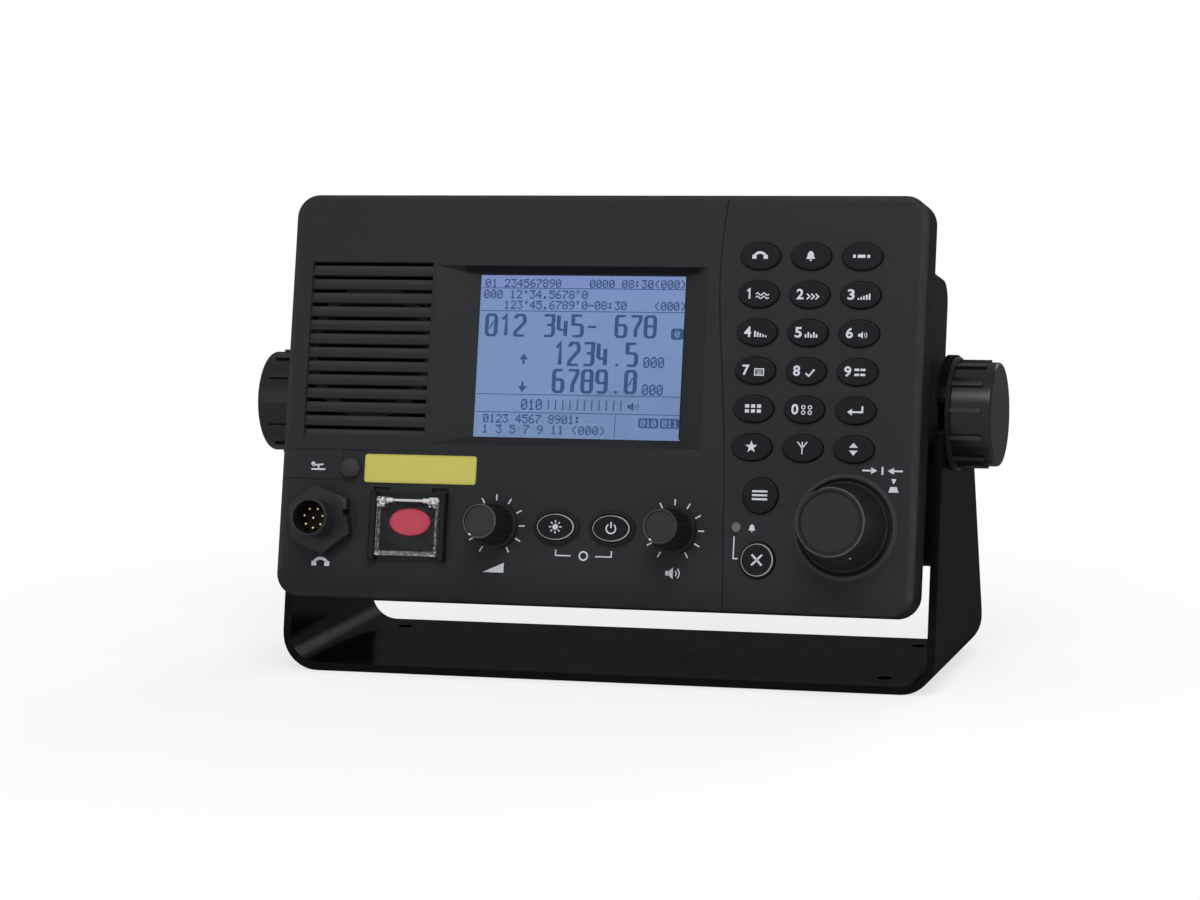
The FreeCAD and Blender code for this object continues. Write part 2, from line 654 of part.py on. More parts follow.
def guard_notches():
    """Two small pockets in the face above the guard's rails."""
    low = GUARD_Z + GUARD_HEIGHT / 2
    pockets = []
    for side in (-1, 1):
        outer = GUARD_X + side * GUARD_WIDTH / 2
        x0, x1 = ordered(outer, outer - side * GUARD_NOTCH_WIDTH)
        pockets.append(block(x0, x1, -OVERCUT, GUARD_NOTCH_DEPTH, low - OVERCUT, low + GUARD_NOTCH_HEIGHT))
    return pockets


def guard_slab(y0, y1):
    """Outline of the guard frame's foot between two depths."""
    return rounded_slab(GUARD_X - GUARD_WIDTH / 2, GUARD_X + GUARD_WIDTH / 2,
                        GUARD_Z - GUARD_HEIGHT / 2, GUARD_Z + GUARD_HEIGHT / 2, GUARD_CORNER_R, y0, y1)


def guard_tray(y0, y1):
    """Rectangular recess between the rails, below the hinge, between two depths."""
    half = GUARD_WIDTH / 2 - GUARD_RAIL_WIDTH
    height, depth = hinge_line()
    return block(GUARD_X - half, GUARD_X + half, y0, y1,
                 GUARD_Z - GUARD_HEIGHT / 2 + GUARD_TRAY_BORDER, height - KNUCKLE_R)


def hinge_line():
    """Height and depth of the guard cover's hinge on the panel."""
    return GUARD_Z + GUARD_HEIGHT / 2 - HINGE_BELOW_TOP, -HINGE_PROUD


def distress_frame():
    """Open foot plate with an upright rail on each side."""
    foot = guard_slab(-GUARD_PLATE_PROUD, SEAT_DEPTH)
    rails = []
    for side in (-1, 1):
        outer = GUARD_X + side * GUARD_WIDTH / 2
        inner = outer - side * GUARD_RAIL_WIDTH
        rail = block(min(inner, outer), max(inner, outer), -GUARD_RAIL_HEIGHT, 0,
                     GUARD_Z - GUARD_HEIGHT / 2, GUARD_Z + GUARD_HEIGHT / 2)
        rails.append(rail.makeFillet(GUARD_CORNER_R, edges_at_depth(rail, -GUARD_RAIL_HEIGHT)))
    return fused([foot] + rails).cut([cover_hinge_pin(), guard_tray(-OVERCUT, SEAT_DEPTH + OVERCUT)])


def cover_hinge_pin():
    """Steel pin held at both ends in the guard rails."""
    height, depth = hinge_line()
    half = GUARD_WIDTH / 2 - HINGE_PIN_END
    return rod(HINGE_PIN_R, GUARD_X - half, GUARD_X + half, depth, height)


def cover_half_width():
    """Half of the lid's width between the guard rails."""
    return GUARD_WIDTH / 2 - GUARD_RAIL_WIDTH - COVER_SIDE_GAP


def distress_cover():
    """Clear lid that hangs from the hinge pin in front of the button."""
    height, depth = hinge_line()
    half = cover_half_width()
    inner = half - KNUCKLE_LENGTH
    low = GUARD_Z - GUARD_HEIGHT / 2 + COVER_END_GAP
    high = height + KNUCKLE_R
    shoulder = height - SPRING_R - COVER_SPRING_GAP
    lid = block(GUARD_X - half, GUARD_X + half, -COVER_PROUD, -GUARD_PLATE_PROUD - COVER_LIFT, low, high)
    lid = lid.makeFillet(COVER_EDGE_R, edges_at_depth(lid, -COVER_PROUD))
    hollow = block(GUARD_X - half + COVER_WALL, GUARD_X + half - COVER_WALL,
                   -COVER_PROUD + COVER_WALL, OVERCUT, low + COVER_WALL, shoulder - COVER_WALL)
    window = block(GUARD_X - inner, GUARD_X + inner, -COVER_PROUD - OVERCUT, OVERCUT,
                   shoulder, high + OVERCUT)
    relief = block(GUARD_X - half - OVERCUT, GUARD_X + half + OVERCUT, depth, OVERCUT,
                   height, high + OVERCUT)
    knuckles = [rod(KNUCKLE_R, GUARD_X - half, GUARD_X - inner, depth, height),
                rod(KNUCKLE_R, GUARD_X + inner, GUARD_X + half, depth, height)]
    bore = rod(HINGE_PIN_R + SHAFT_CLEARANCE, GUARD_X - half - OVERCUT, GUARD_X + half + OVERCUT,
               depth, height)
    return fused([lid.cut([hollow, window, relief])] + knuckles).cut(bore)


def cover_spring(side):
    """Torsion spring beside one knuckle: its coil's outline, a leg on the plate and one on the lid."""
    height, depth = hinge_line()
    outer = cover_half_width() - KNUCKLE_LENGTH - COVER_SPRING_GAP
    near = GUARD_X + side * (outer - SPRING_LENGTH)
    far = GUARD_X + side * outer
    coil = rod(SPRING_R, *ordered(near, far), depth, height)
    plate_leg = block(*ordered(near, near + side * SPRING_WIRE), depth, -GUARD_PLATE_PROUD,
                      height - SPRING_R, height - SPRING_R + SPRING_WIRE)
    lid_leg = block(*ordered(far, far - side * SPRING_WIRE), depth - SPRING_WIRE, depth,
                    height - SPRING_R - COVER_SPRING_GAP / 2, height)
    bore = rod(HINGE_PIN_R, *ordered(near - side * OVERCUT, far + side * OVERCUT), depth, height)
    return fused([coil, plate_leg, lid_leg]).cut(bore)


def distress_button():
    """Red oval button with its retaining flange."""
    return pushed_key(RED_KEY_WIDTH, RED_KEY_HEIGHT, GUARD_X, RED_KEY_Z, -RED_KEY_SUNK)


def pushed_key(width, height, x, z, proud):
    """Oval key: cap through the face and a wider flange behind it."""
    cap = oval(width, height, x, z, -proud, FLANGE_REAR_DEPTH)
    cap = cap.makeFillet(KEY_TOP_R, edges_at_depth(cap, -proud))
    flange = oval(width + 2 * KEY_FLANGE, height + 2 * KEY_FLANGE, x, z, FLANGE_TOP_DEPTH, FLANGE_REAR_DEPTH)
    return fused([cap, flange])


def round_key(z):
    """Round key: cap through the face and a wider flange behind it."""
    cap = disc(ROUND_KEY_R, ROUND_KEY_X, z, -KEY_PROUD, FLANGE_REAR_DEPTH)
    cap = cap.makeFillet(KEY_TOP_R, edges_at_depth(cap, -KEY_PROUD))
    flange = disc(ROUND_KEY_R + KEY_FLANGE, ROUND_KEY_X, z, FLANGE_TOP_DEPTH, FLANGE_REAR_DEPTH)
    return fused([cap, flange])


def pillar(width, height, x, z):
    """Post of the rubber mat under one key, short of the key's travel."""
    return oval(width - 2 * PILLAR_INSET, height - 2 * PILLAR_INSET, x, z,
                FLANGE_REAR_DEPTH + KEY_TRAVEL + PRESS_CLEARANCE, BOARD_DEPTH)


def mat_sheet(x0, x1, z0, z1):
    """Flat part of a rubber mat, lying on the control board."""
    return block(x0, x1, BOARD_DEPTH - MAT_THICKNESS, BOARD_DEPTH, z0, z1)


def keypad_mat():
    """Rubber mats on the control board: the keypad's, the lower pair's and the button's."""
    half_x = KEY_WIDTH / 2 + MAT_BORDER
    half_z = KEY_HEIGHT / 2 + MAT_BORDER
    keypad = [mat_sheet(FIRST_KEY_X - half_x, LAST_KEY_X + half_x, LAST_KEY_Z - half_z, FIRST_KEY_Z + half_z),
              mat_sheet(ROUND_KEY_X - ROUND_KEY_R + PILLAR_INSET, ROUND_KEY_X + ROUND_KEY_R,
                        CANCEL_KEY_Z - ROUND_KEY_R + PILLAR_INSET, LAST_KEY_Z)]
    keypad += [pillar(KEY_WIDTH, KEY_HEIGHT, x, z) for x, z in key_places()]
    keypad += [disc(ROUND_KEY_R - PILLAR_INSET, ROUND_KEY_X, z,
                    FLANGE_REAR_DEPTH + KEY_TRAVEL + PRESS_CLEARANCE, BOARD_DEPTH)
               for z in (MENU_KEY_Z, CANCEL_KEY_Z)]
    half_x = LOWER_KEY_WIDTH / 2
    half_z = LOWER_KEY_HEIGHT / 2
    lower = [mat_sheet(DIMMER_X - half_x, POWER_X + half_x, LOWER_KEY_Z - half_z, LOWER_KEY_Z + half_z)]
    lower += [pillar(LOWER_KEY_WIDTH, LOWER_KEY_HEIGHT, x, LOWER_KEY_Z) for x in (DIMMER_X, POWER_X)]
    half_x = RED_KEY_WIDTH / 2
    half_z = RED_KEY_HEIGHT / 2
    red = [mat_sheet(GUARD_X - half_x, GUARD_X + half_x, RED_KEY_Z - half_z, RED_KEY_Z + half_z),
           pillar(RED_KEY_WIDTH, RED_KEY_HEIGHT, GUARD_X, RED_KEY_Z)]
    return [fused(keypad), fused(lower), fused(red)]


def control_board():
    """Circuit board behind the display and the keys, with a tongue to the guarded button."""
    left, right, bottom, top = board_limits()
    back = BOARD_DEPTH + BOARD_THICKNESS
    main = block(left, right, BOARD_DEPTH, back, bottom, top)
    tongue = block(GUARD_X - GUARD_WIDTH / 2, left + 1, BOARD_DEPTH, back, bottom, LEDGE_Z)
    return fused([main, tongue])


def display_window():
    """Clear pane bonded behind the bezel."""
    return block(WINDOW_LEFT - LENS_LAP, WINDOW_RIGHT + LENS_LAP, WINDOW_DEPTH, WINDOW_DEPTH + LENS_THICKNESS,
                 WINDOW_BOTTOM - LENS_LAP, WINDOW_TOP + LENS_LAP)


def display_panel():
    """Display module between the pane and the control board."""
    return block(WINDOW_LEFT - DISPLAY_LAP, WINDOW_RIGHT + DISPLAY_LAP, WINDOW_DEPTH + LENS_THICKNESS,
                 BOARD_DEPTH, WINDOW_BOTTOM - DISPLAY_LAP, WINDOW_TOP + DISPLAY_LAP)


def speaker_centre():
    """Centre of the loudspeaker behind the louvres."""
    return (GRILLE_LEFT + GRILLE_RIGHT) / 2, (GRILLE_TOP + GRILLE_BOTTOM) / 2


def speaker_frame():
    """Pressed basket with its rim on the casing's face and the magnet pot behind."""
    rim_back = FACE_THICKNESS + SPEAKER_RIM_THICKNESS
    inner = SPEAKER_R - SPEAKER_RIM_WIDTH
    deep = rim_back + SPEAKER_BASKET_DEPTH
    profile = [(inner, FACE_THICKNESS), (SPEAKER_R, FACE_THICKNESS), (SPEAKER_R, rim_back),
               (inner + SPEAKER_SHEET, rim_back), (MAGNET_R, deep - MAGNET_STEP),
               (MAGNET_R, deep + MAGNET_DEPTH),
               (0, deep + MAGNET_DEPTH), (0, deep), (MAGNET_R - SPEAKER_SHEET, deep), (inner, rim_back)]
    x, z = speaker_centre()
    return turned(profile, x, z)


def speaker_cone():
    """Paper cone with its surround on the basket's rim and a dust cap at the neck."""
    edge = SPEAKER_R - SPEAKER_RIM_WIDTH
    front = FACE_THICKNESS + CONE_PAPER
    back = front + CONE_PAPER
    fold = edge - CONE_SURROUND_WIDTH
    neck = FACE_THICKNESS + SPEAKER_BASKET_DEPTH - CONE_NECK_ABOVE_BASKET
    profile = [(0, neck - CONE_DOME), (CONE_NECK_R, neck), (fold, front), (edge, front), (edge, back),
               (fold, back), (CONE_NECK_R, neck + CONE_PAPER), (0, neck - CONE_DOME + CONE_PAPER)]
    x, z = speaker_centre()
    return turned(profile, x, z)


def alarm_lamp():
    """Small round lamp standing on the control board."""
    lamp = disc(LAMP_R, LAMP_X, LAMP_Z, -LAMP_PROUD, BOARD_DEPTH)
    return lamp.makeFillet(LAMP_PROUD, edges_at_depth(lamp, -LAMP_PROUD))


def potentiometer(x):
    """Rotary control on the board: body, bush through the face and the shaft for its knob."""
    half = CONTROL_BODY / 2
    body = block(x - half, x + half, FLANGE_TOP_DEPTH, BOARD_DEPTH,
                 CONTROL_ROW_Z - half, CONTROL_ROW_Z + half)
    bush = disc(BUSH_R, x, CONTROL_ROW_Z, -BUSH_PROUD, FLANGE_TOP_DEPTH)
    top = -(KNOB_HEIGHT - KNOB_CAP_WALL - SHAFT_END_GAP)
    shaft = disc(CONTROL_SHAFT_R, x, CONTROL_ROW_Z, top, -BUSH_PROUD)
    return fused([body, bush, shaft])


def small_knob(x):
    """Fluted gain or volume knob with a skirt and a dished cap."""
    foot = -KNOB_FLOAT
    skirt = foot - KNOB_SKIRT_HEIGHT
    profile = [(0, foot), (KNOB_SKIRT_R, foot), (KNOB_SKIRT_R, skirt + KNOB_SKIRT_CHAMFER),
               (KNOB_SKIRT_R - KNOB_SKIRT_CHAMFER, skirt), (KNOB_FOOT_R, skirt),
               (KNOB_TOP_R, KNOB_RIM_CHAMFER - KNOB_HEIGHT), (KNOB_TOP_R - KNOB_RIM_CHAMFER, -KNOB_HEIGHT),
               (KNOB_DISH_R, -KNOB_HEIGHT), (KNOB_DISH_R, KNOB_DISH_DEPTH - KNOB_HEIGHT),
               (0, KNOB_DISH_DEPTH - KNOB_HEIGHT)]
    knob = turned(profile, x, CONTROL_ROW_Z)
    cap = KNOB_CAP_WALL - KNOB_HEIGHT
    cuts = [disc(CONTROL_SHAFT_R + SHAFT_CLEARANCE, x, CONTROL_ROW_Z, cap, OVERCUT),
            disc(BUSH_R + BUSH_CLEARANCE, x, CONTROL_ROW_Z, -BUSH_PROUD - BUSH_CLEARANCE, OVERCUT)]
    lean = math.degrees(math.atan2(KNOB_FOOT_R - KNOB_TOP_R, KNOB_HEIGHT + skirt))
    centre = KNOB_FOOT_R + KNOB_FLUTE_R - KNOB_FLUTE_DEPTH
    flute = disc(KNOB_FLUTE_R, x + centre, CONTROL_ROW_Z, -2 * KNOB_HEIGHT, skirt)
    flute.rotate(V(x + centre, skirt, CONTROL_ROW_Z), V(0, 0, 1), -lean)
    cuts += around(flute, x, CONTROL_ROW_Z, KNOB_FLUTES, 0)
    return knob.cut(cuts)


def around(shape, x, z, count, start):
    """Copies of a shape spaced evenly about the panel's normal at x, z, from a start angle."""
    copies = []
    for index in range(count):
        copy = shape.copy()
        copy.rotate(V(x, 0, z), INTO_PANEL, start + index * 360 / count)
        copies.append(copy)
    return copies


def encoder_body():
    """Rotary encoder on the board, with a blind bore for its shaft."""
    half = CONTROL_BODY / 2
    body = block(ENCODER_X - half, ENCODER_X + half, FLANGE_TOP_DEPTH, BOARD_DEPTH,
                 ENCODER_Z - half, ENCODER_Z + half)
    bush = disc(ENCODER_BUSH_R, ENCODER_X, ENCODER_Z, -ENCODER_BUSH_PROUD, FLANGE_TOP_DEPTH)
    bore = disc(CONTROL_SHAFT_R + SHAFT_CLEARANCE, ENCODER_X, ENCODER_Z, -ENCODER_BUSH_PROUD - OVERCUT,
                BOARD_DEPTH - KNOB_CAP_WALL)
    return fused([body, bush]).cut(bore)


def encoder_shaft():
    """Shaft that turns in the encoder and carries the tuning knob."""
    top = -(ENCODER_HEIGHT - KNOB_CAP_WALL - SHAFT_END_GAP - ENCODER_PUSH)
    return disc(CONTROL_SHAFT_R, ENCODER_X, ENCODER_Z, top, BOARD_DEPTH - KNOB_CAP_WALL - SHAFT_END_GAP)


def encoder_knob():
    """Large tapered tuning knob with shallow scallops and a dished cap."""
    foot = -ENCODER_FLOAT
    shoulder = foot - ENCODER_FOOT_HEIGHT
    profile = [(0, foot), (ENCODER_FOOT_R - ENCODER_FOOT_CHAMFER, foot),
               (ENCODER_FOOT_R, foot - ENCODER_FOOT_CHAMFER), (ENCODER_FOOT_R, shoulder),
               (ENCODER_FOOT_R - ENCODER_SHOULDER_STEP, shoulder - ENCODER_SHOULDER_RISE),
               (ENCODER_TOP_R, ENCODER_RIM_CHAMFER - ENCODER_HEIGHT),
               (ENCODER_TOP_R - ENCODER_RIM_CHAMFER, -ENCODER_HEIGHT),
               (ENCODER_DISH_R + ENCODER_DISH_SLOPE, -ENCODER_HEIGHT),
               (ENCODER_DISH_R, ENCODER_DISH_DEPTH - ENCODER_HEIGHT),
               (0, ENCODER_DISH_DEPTH - ENCODER_HEIGHT)]
    knob = turned(profile, ENCODER_X, ENCODER_Z)
    cap = KNOB_CAP_WALL - ENCODER_HEIGHT
    mouth = -ENCODER_BUSH_PROUD - BUSH_CLEARANCE - ENCODER_PUSH
    cuts = [disc(CONTROL_SHAFT_R + SHAFT_CLEARANCE, ENCODER_X, ENCODER_Z, cap, OVERCUT),
            disc(ENCODER_BUSH_R + BUSH_CLEARANCE, ENCODER_X, ENCODER_Z, mouth, OVERCUT)]
    lean = math.degrees(math.atan2(ENCODER_FOOT_R - ENCODER_TOP_R, ENCODER_HEIGHT + shoulder))
    centre = ENCODER_FOOT_R + ENCODER_SCALLOP_R - ENCODER_SCALLOP_DEPTH
    low = shoulder - ENCODER_SCALLOP_LIFT
    scallop = disc(ENCODER_SCALLOP_R, ENCODER_X + centre, ENCODER_Z, -2 * ENCODER_HEIGHT, low)
    scallop.rotate(V(ENCODER_X + centre, low, ENCODER_Z), V(0, 0, 1), -lean)
    cuts += around(scallop, ENCODER_X, ENCODER_Z, ENCODER_SCALLOPS, ENCODER_SCALLOP_TURN)
    return knob.cut(cuts)


def handset_socket():
    """Metal shell of the handset socket: flange behind the face, thread under the nut, plain barrel."""
    flange_back = FACE_THICKNESS + SOCKET_FLANGE_THICKNESS
    profile = [(SOCKET_BORE_R, flange_back), (SOCKET_FLANGE_R, flange_back),
               (SOCKET_FLANGE_R, FACE_THICKNESS), (SOCKET_THREAD_R, FACE_THICKNESS),
               (SOCKET_THREAD_R, -NUT_THICKNESS), (SOCKET_R, -NUT_THICKNESS),
               (SOCKET_R, SOCKET_LIP - SOCKET_PROUD), (SOCKET_R - SOCKET_LIP, -SOCKET_PROUD),
               (SOCKET_BORE_R, -SOCKET_PROUD)]
    return turned(profile, SOCKET_X, CONTROL_ROW_Z)


def handset_insert():
    """Insulating core of the handset socket, bored for the pins."""
    front = INSERT_BELOW_RIM - SOCKET_PROUD
    back = FACE_THICKNESS + SOCKET_FLANGE_THICKNESS + INSERT_TAIL
    core = disc(SOCKET_BORE_R, SOCKET_X, CONTROL_ROW_Z, front, back)
    holes = [disc(PIN_R, x, z, front - OVERCUT, back + OVERCUT) for x, z in pin_places()]
    return core.cut(holes)


def pin_places():
    """Seven pins in a ring and one in the middle."""
    ring = [(SOCKET_X + PIN_RING_R * math.sin(math.tau * index / PIN_COUNT),
             CONTROL_ROW_Z - PIN_RING_R * math.cos(math.tau * index / PIN_COUNT))
            for index in range(PIN_COUNT)]
    return ring + [(SOCKET_X, CONTROL_ROW_Z)]


def handset_pins():
    """Contact pins of the handset socket."""
    front = INSERT_BELOW_RIM - SOCKET_PROUD - PIN_HEIGHT
    back = FACE_THICKNESS + SOCKET_FLANGE_THICKNESS + INSERT_TAIL + PIN_TAIL
    pins = []
    for x, z in pin_places():
        pin = disc(PIN_R, x, z, front, back)
        pins.append(pin.makeFillet(PIN_TIP_R, edges_at_depth(pin, front)))
    return pins


def handset_nut():
    """Hexagonal nut that clamps the socket to the face, with a small notch in one flat."""
    corner_r = NUT_ACROSS_FLATS / 2 / math.cos(math.radians(30))
    points = [V(SOCKET_X + corner_r * math.sin(math.radians(60 * index)), -NUT_THICKNESS,
                CONTROL_ROW_Z + corner_r * math.cos(math.radians(60 * index))) for index in range(6)]
    hexagon = Part.Face(Part.makePolygon(points + [points[0]])).extrude(V(0, NUT_THICKNESS, 0))
    flat_r = NUT_ACROSS_FLATS / 2
    over = corner_r + OVERCUT
    chamfer = turned([(0, 0), (over, 0), (over, NUT_CHAMFER - NUT_THICKNESS), (flat_r, -NUT_THICKNESS),
                      (0, -NUT_THICKNESS)], SOCKET_X, CONTROL_ROW_Z)
    notch = block(SOCKET_X + flat_r - NUT_NOTCH_DEPTH, SOCKET_X + flat_r + OVERCUT,
                  -NUT_THICKNESS - OVERCUT, OVERCUT, CONTROL_ROW_Z, CONTROL_ROW_Z + NUT_NOTCH_WIDTH)
    bore = disc(SOCKET_THREAD_R, SOCKET_X, CONTROL_ROW_Z, -NUT_THICKNESS - OVERCUT, OVERCUT)
    nut = hexagon.common(chamfer).cut([notch, bore])
    nut.rotate(V(SOCKET_X, 0, CONTROL_ROW_Z), INTO_PANEL, NUT_TURN)
    return nut


def key_jack_plug():
    """Soft domed plug pressed into the key jack's hole."""
    dome = []
    for step in range(DOME_STEPS + 1):
        angle = math.pi / 2 * step / DOME_STEPS
        dome.append((PLUG_R * math.cos(angle), -PLUG_BAND - (PLUG_PROUD - PLUG_BAND) * math.sin(angle)))
    dome[-1] = (0, -PLUG_PROUD)
    cap = turned([(0, SEAT_DEPTH), (PLUG_R, SEAT_DEPTH)] + dome, PLUG_X, PLUG_Z)
    return fused([cap, disc(PLUG_STEM_R, PLUG_X, PLUG_Z, SEAT_DEPTH, PLUG_STEM_DEPTH)])


def gasket_ring(y0, y1):
    """Rubber ring that follows the casing's rear rim."""
    inset = (CASING_WALL + BACK_FLANGE_INSET) / 2 - GASKET_WIDTH / 2
    outer = rounded_slab(LEFT + inset, RIGHT - inset, BOTTOM + inset, TOP - inset,
                         CASING_CORNER_R - inset, y0, y1)
    inset += GASKET_WIDTH
    inner = rounded_slab(LEFT + inset, RIGHT - inset, BOTTOM + inset, TOP - inset,
                         CASING_CORNER_R - inset, y0 - OVERCUT, y1 + OVERCUT)
    return outer.cut(inner)


def housing_box(inset, front, back_r):
    """Rear box, or its hollow: a block whose long back edges are well rounded."""
    back = HOUSING_BACK - inset
    box = block(-HOUSING_RIGHT + inset, HOUSING_RIGHT - inset, front, back,
                HOUSING_BOTTOM + inset, HOUSING_TOP - inset)
    long_edges = [edge for edge in edges_at_depth(box, back) if edge.BoundBox.ZLength < 1e-4]
    return box.makeFillet(back_r, long_edges)


def rear_housing():
    """Rear half: flange on the casing, narrower box behind it and the two pivot bosses."""
    flange = rounded_slab(LEFT + BACK_FLANGE_INSET, RIGHT - BACK_FLANGE_INSET, BOTTOM + BACK_FLANGE_INSET,
                          TOP - BACK_FLANGE_INSET, CASING_CORNER_R - BACK_FLANGE_INSET,
                          CASING_DEPTH, FLANGE_BACK)
    box = housing_box(0, FLANGE_BACK - EMBED, HOUSING_BACK_R)
    side_edges = [edge for edge in box.Edges if edge.BoundBox.XLength < 1e-4
                  and edge.BoundBox.YMax > FLANGE_BACK]
    box = box.makeFillet(HOUSING_SIDE_R, side_edges)
    hollow = housing_box(HOUSING_WALL, CASING_DEPTH - OVERCUT, HOUSING_BACK_R - HOUSING_WALL)
    shell = flange.fuse(box).cut(hollow)
    bosses = []
    for side in (-1, 1):
        inner = RIGHT - INSERT_LENGTH
        bosses.append(rod(PIVOT_BOSS_R, *ordered(side * (HOUSING_RIGHT - EMBED), side * RIGHT),
                          FACE_AHEAD_OF_PIVOT, 0))
        bosses.append(rod(INSERT_R + INSERT_BOSS_WALL, *ordered(side * inner, side * HOUSING_RIGHT),
                          FACE_AHEAD_OF_PIVOT, 0))
    bosses += [disc(BOSS_R, x, z, main_board_back(), HOUSING_BACK - HOUSING_WALL + EMBED)
               for x, z in main_board_posts()]
    shell = shell.fuse(bosses).removeSplitter()
    cuts = [rod(INSERT_R, *ordered(side * (RIGHT - INSERT_LENGTH - OVERCUT), side * (RIGHT + OVERCUT)),
                FACE_AHEAD_OF_PIVOT, 0) for side in (-1, 1)]
    cuts += [disc(SCREW_R + SCREW_HOLE_CLEARANCE, x, z, CASING_DEPTH - OVERCUT, FLANGE_BACK + OVERCUT)
             for x, z in screw_places()]
    cuts += [gasket_ring(CASING_DEPTH, CASING_DEPTH + GASKET_THICKNESS)]
    cuts += [disc(REAR_SOCKET_R, side * REAR_SOCKET_X, REAR_SOCKET_Z, HOUSING_BACK - HOUSING_WALL - OVERCUT,
                  HOUSING_BACK + OVERCUT) for side in (-1, 1)]
    return shell.cut(cuts)


def ordered(a, b):
    """The two values, the smaller first."""
    return (min(a, b), max(a, b))


def main_board_back():
    """Depth of the main board's rear face, on the housing's posts."""
    return HOUSING_BACK - HOUSING_WALL - MAIN_BOARD_STANDOFF


def main_board_posts():
    """Centres of the four posts that carry the main board."""
    x = HOUSING_RIGHT - MAIN_BOARD_INSET_X - BOSS_R - BOSS_GAP
    high = HOUSING_TOP - MAIN_BOARD_INSET_Z - BOSS_R - BOSS_GAP
    low = HOUSING_BOTTOM + MAIN_BOARD_INSET_Z + BOSS_R + BOSS_GAP
    return [(sx * x, z) for sx in (-1, 1) for z in (low, high)]


def main_board():
    """Main circuit board in the rear housing."""
    half = HOUSING_RIGHT - MAIN_BOARD_INSET_X
    return block(-half, half, main_board_back() - BOARD_THICKNESS, main_board_back(),
                 HOUSING_BOTTOM + MAIN_BOARD_INSET_Z, HOUSING_TOP - MAIN_BOARD_INSET_Z)


def rear_socket(x):
    """Round cable socket on the back: flange, barrel with a blind recess, and tail."""
    back = HOUSING_BACK + REAR_SOCKET_LENGTH
    profile = [(0, HOUSING_BACK - HOUSING_WALL - REAR_SOCKET_TAIL),
               (REAR_SOCKET_R, HOUSING_BACK - HOUSING_WALL - REAR_SOCKET_TAIL),
               (REAR_SOCKET_R, HOUSING_BACK), (REAR_SOCKET_FLANGE_R, HOUSING_BACK),
               (REAR_SOCKET_FLANGE_R, HOUSING_BACK + REAR_SOCKET_FLANGE_THICKNESS),
               (REAR_SOCKET_R, HOUSING_BACK + REAR_SOCKET_FLANGE_THICKNESS), (REAR_SOCKET_R, back),
               (REAR_SOCKET_R - REAR_SOCKET_WALL, back),
               (REAR_SOCKET_R - REAR_SOCKET_WALL, back - REAR_SOCKET_DEPTH), (0, back - REAR_SOCKET_DEPTH)]
    return turned(profile, x, REAR_SOCKET_Z)


def casing_screw(x, z):
    """Cap screw through the rear flange into a boss of the front casing."""
    head = disc(SCREW_HEAD_R, x, z, FLANGE_BACK, FLANGE_BACK + SCREW_HEAD_HEIGHT)
    head = head.makeFillet(SCREW_HEAD_EDGE_R, edges_at_depth(head, FLANGE_BACK + SCREW_HEAD_HEIGHT))
    shank = disc(SCREW_R, x, z, CASING_DEPTH - SCREW_GRIP, FLANGE_BACK)
    socket = disc(SCREW_SOCKET_R, x, z, FLANGE_BACK + SCREW_HEAD_HEIGHT - SCREW_SOCKET_DEPTH,
                  FLANGE_BACK + SCREW_HEAD_HEIGHT + OVERCUT)
    return fused([head, shank]).cut(socket)


def side_ring(side, near, far, outer, inner):
    """Ring about the pivot axis on one side, between two distances from the middle."""
    ring = rod(outer, *ordered(side * near, side * far), FACE_AHEAD_OF_PIVOT, 0)
    hole = rod(inner, *ordered(side * (near - OVERCUT), side * (far + OVERCUT)), FACE_AHEAD_OF_PIVOT, 0)
    return ring.cut(hole)


def clamp_stud(side):
    """Threaded stud from the knob through the arm's slot into the housing's insert."""
    return rod(STUD_R, *ordered(side * (RIGHT - STUD_ENGAGEMENT), side * (KNOB_INNER_FACE + STUD_IN_KNOB)),
               FACE_AHEAD_OF_PIVOT, 0)


def clamp_knob(side):
    """Ribbed hand knob with a plain outer band, bored for its stud."""
    far = KNOB_INNER_FACE + CLAMP_KNOB_LENGTH
    body = rod(CLAMP_KNOB_R, *ordered(side * KNOB_INNER_FACE, side * far), FACE_AHEAD_OF_PIVOT, 0)
    rim = [edge for edge in body.Edges if abs(abs(edge.BoundBox.XMin) - far) < 1e-4
           and abs(abs(edge.BoundBox.XMax) - far) < 1e-4]
    body = body.makeFillet(CLAMP_KNOB_EDGE_R, rim)
    half = CLAMP_RIB_WIDTH / 2
    end = KNOB_INNER_FACE + CLAMP_RIB_LENGTH - half
    x0, x1 = ordered(side * KNOB_INNER_FACE, side * end)
    reach = CLAMP_KNOB_R + CLAMP_RIB_HEIGHT
    root = CLAMP_KNOB_R - EMBED
    tall = CLAMP_RIB_HEIGHT + 2 * EMBED
    bar = Part.makeBox(x1 - x0, 2 * half, tall, V(x0, FACE_AHEAD_OF_PIVOT - half, root))
    nose = Part.makeCylinder(half, tall, V(side * end, FACE_AHEAD_OF_PIVOT, root))
    rib = fused([bar, nose])
    start = LEFT_KNOB_TURN if side < 0 else RIGHT_KNOB_TURN
    crest = rod(reach, *ordered(side * KNOB_INNER_FACE, side * far), FACE_AHEAD_OF_PIVOT, 0)
    ribs = []
    for index in range(CLAMP_RIBS):
        copy = rib.copy()
        copy.rotate(V(0, FACE_AHEAD_OF_PIVOT, 0), V(1, 0, 0), start + index * 360 / CLAMP_RIBS)
        ribs.append(copy.common(crest))
    bore = rod(STUD_R, *ordered(side * (KNOB_INNER_FACE - OVERCUT), side * (KNOB_INNER_FACE + STUD_IN_KNOB)),
               FACE_AHEAD_OF_PIVOT, 0)
    return body.fuse(ribs).removeSplitter().cut(bore)


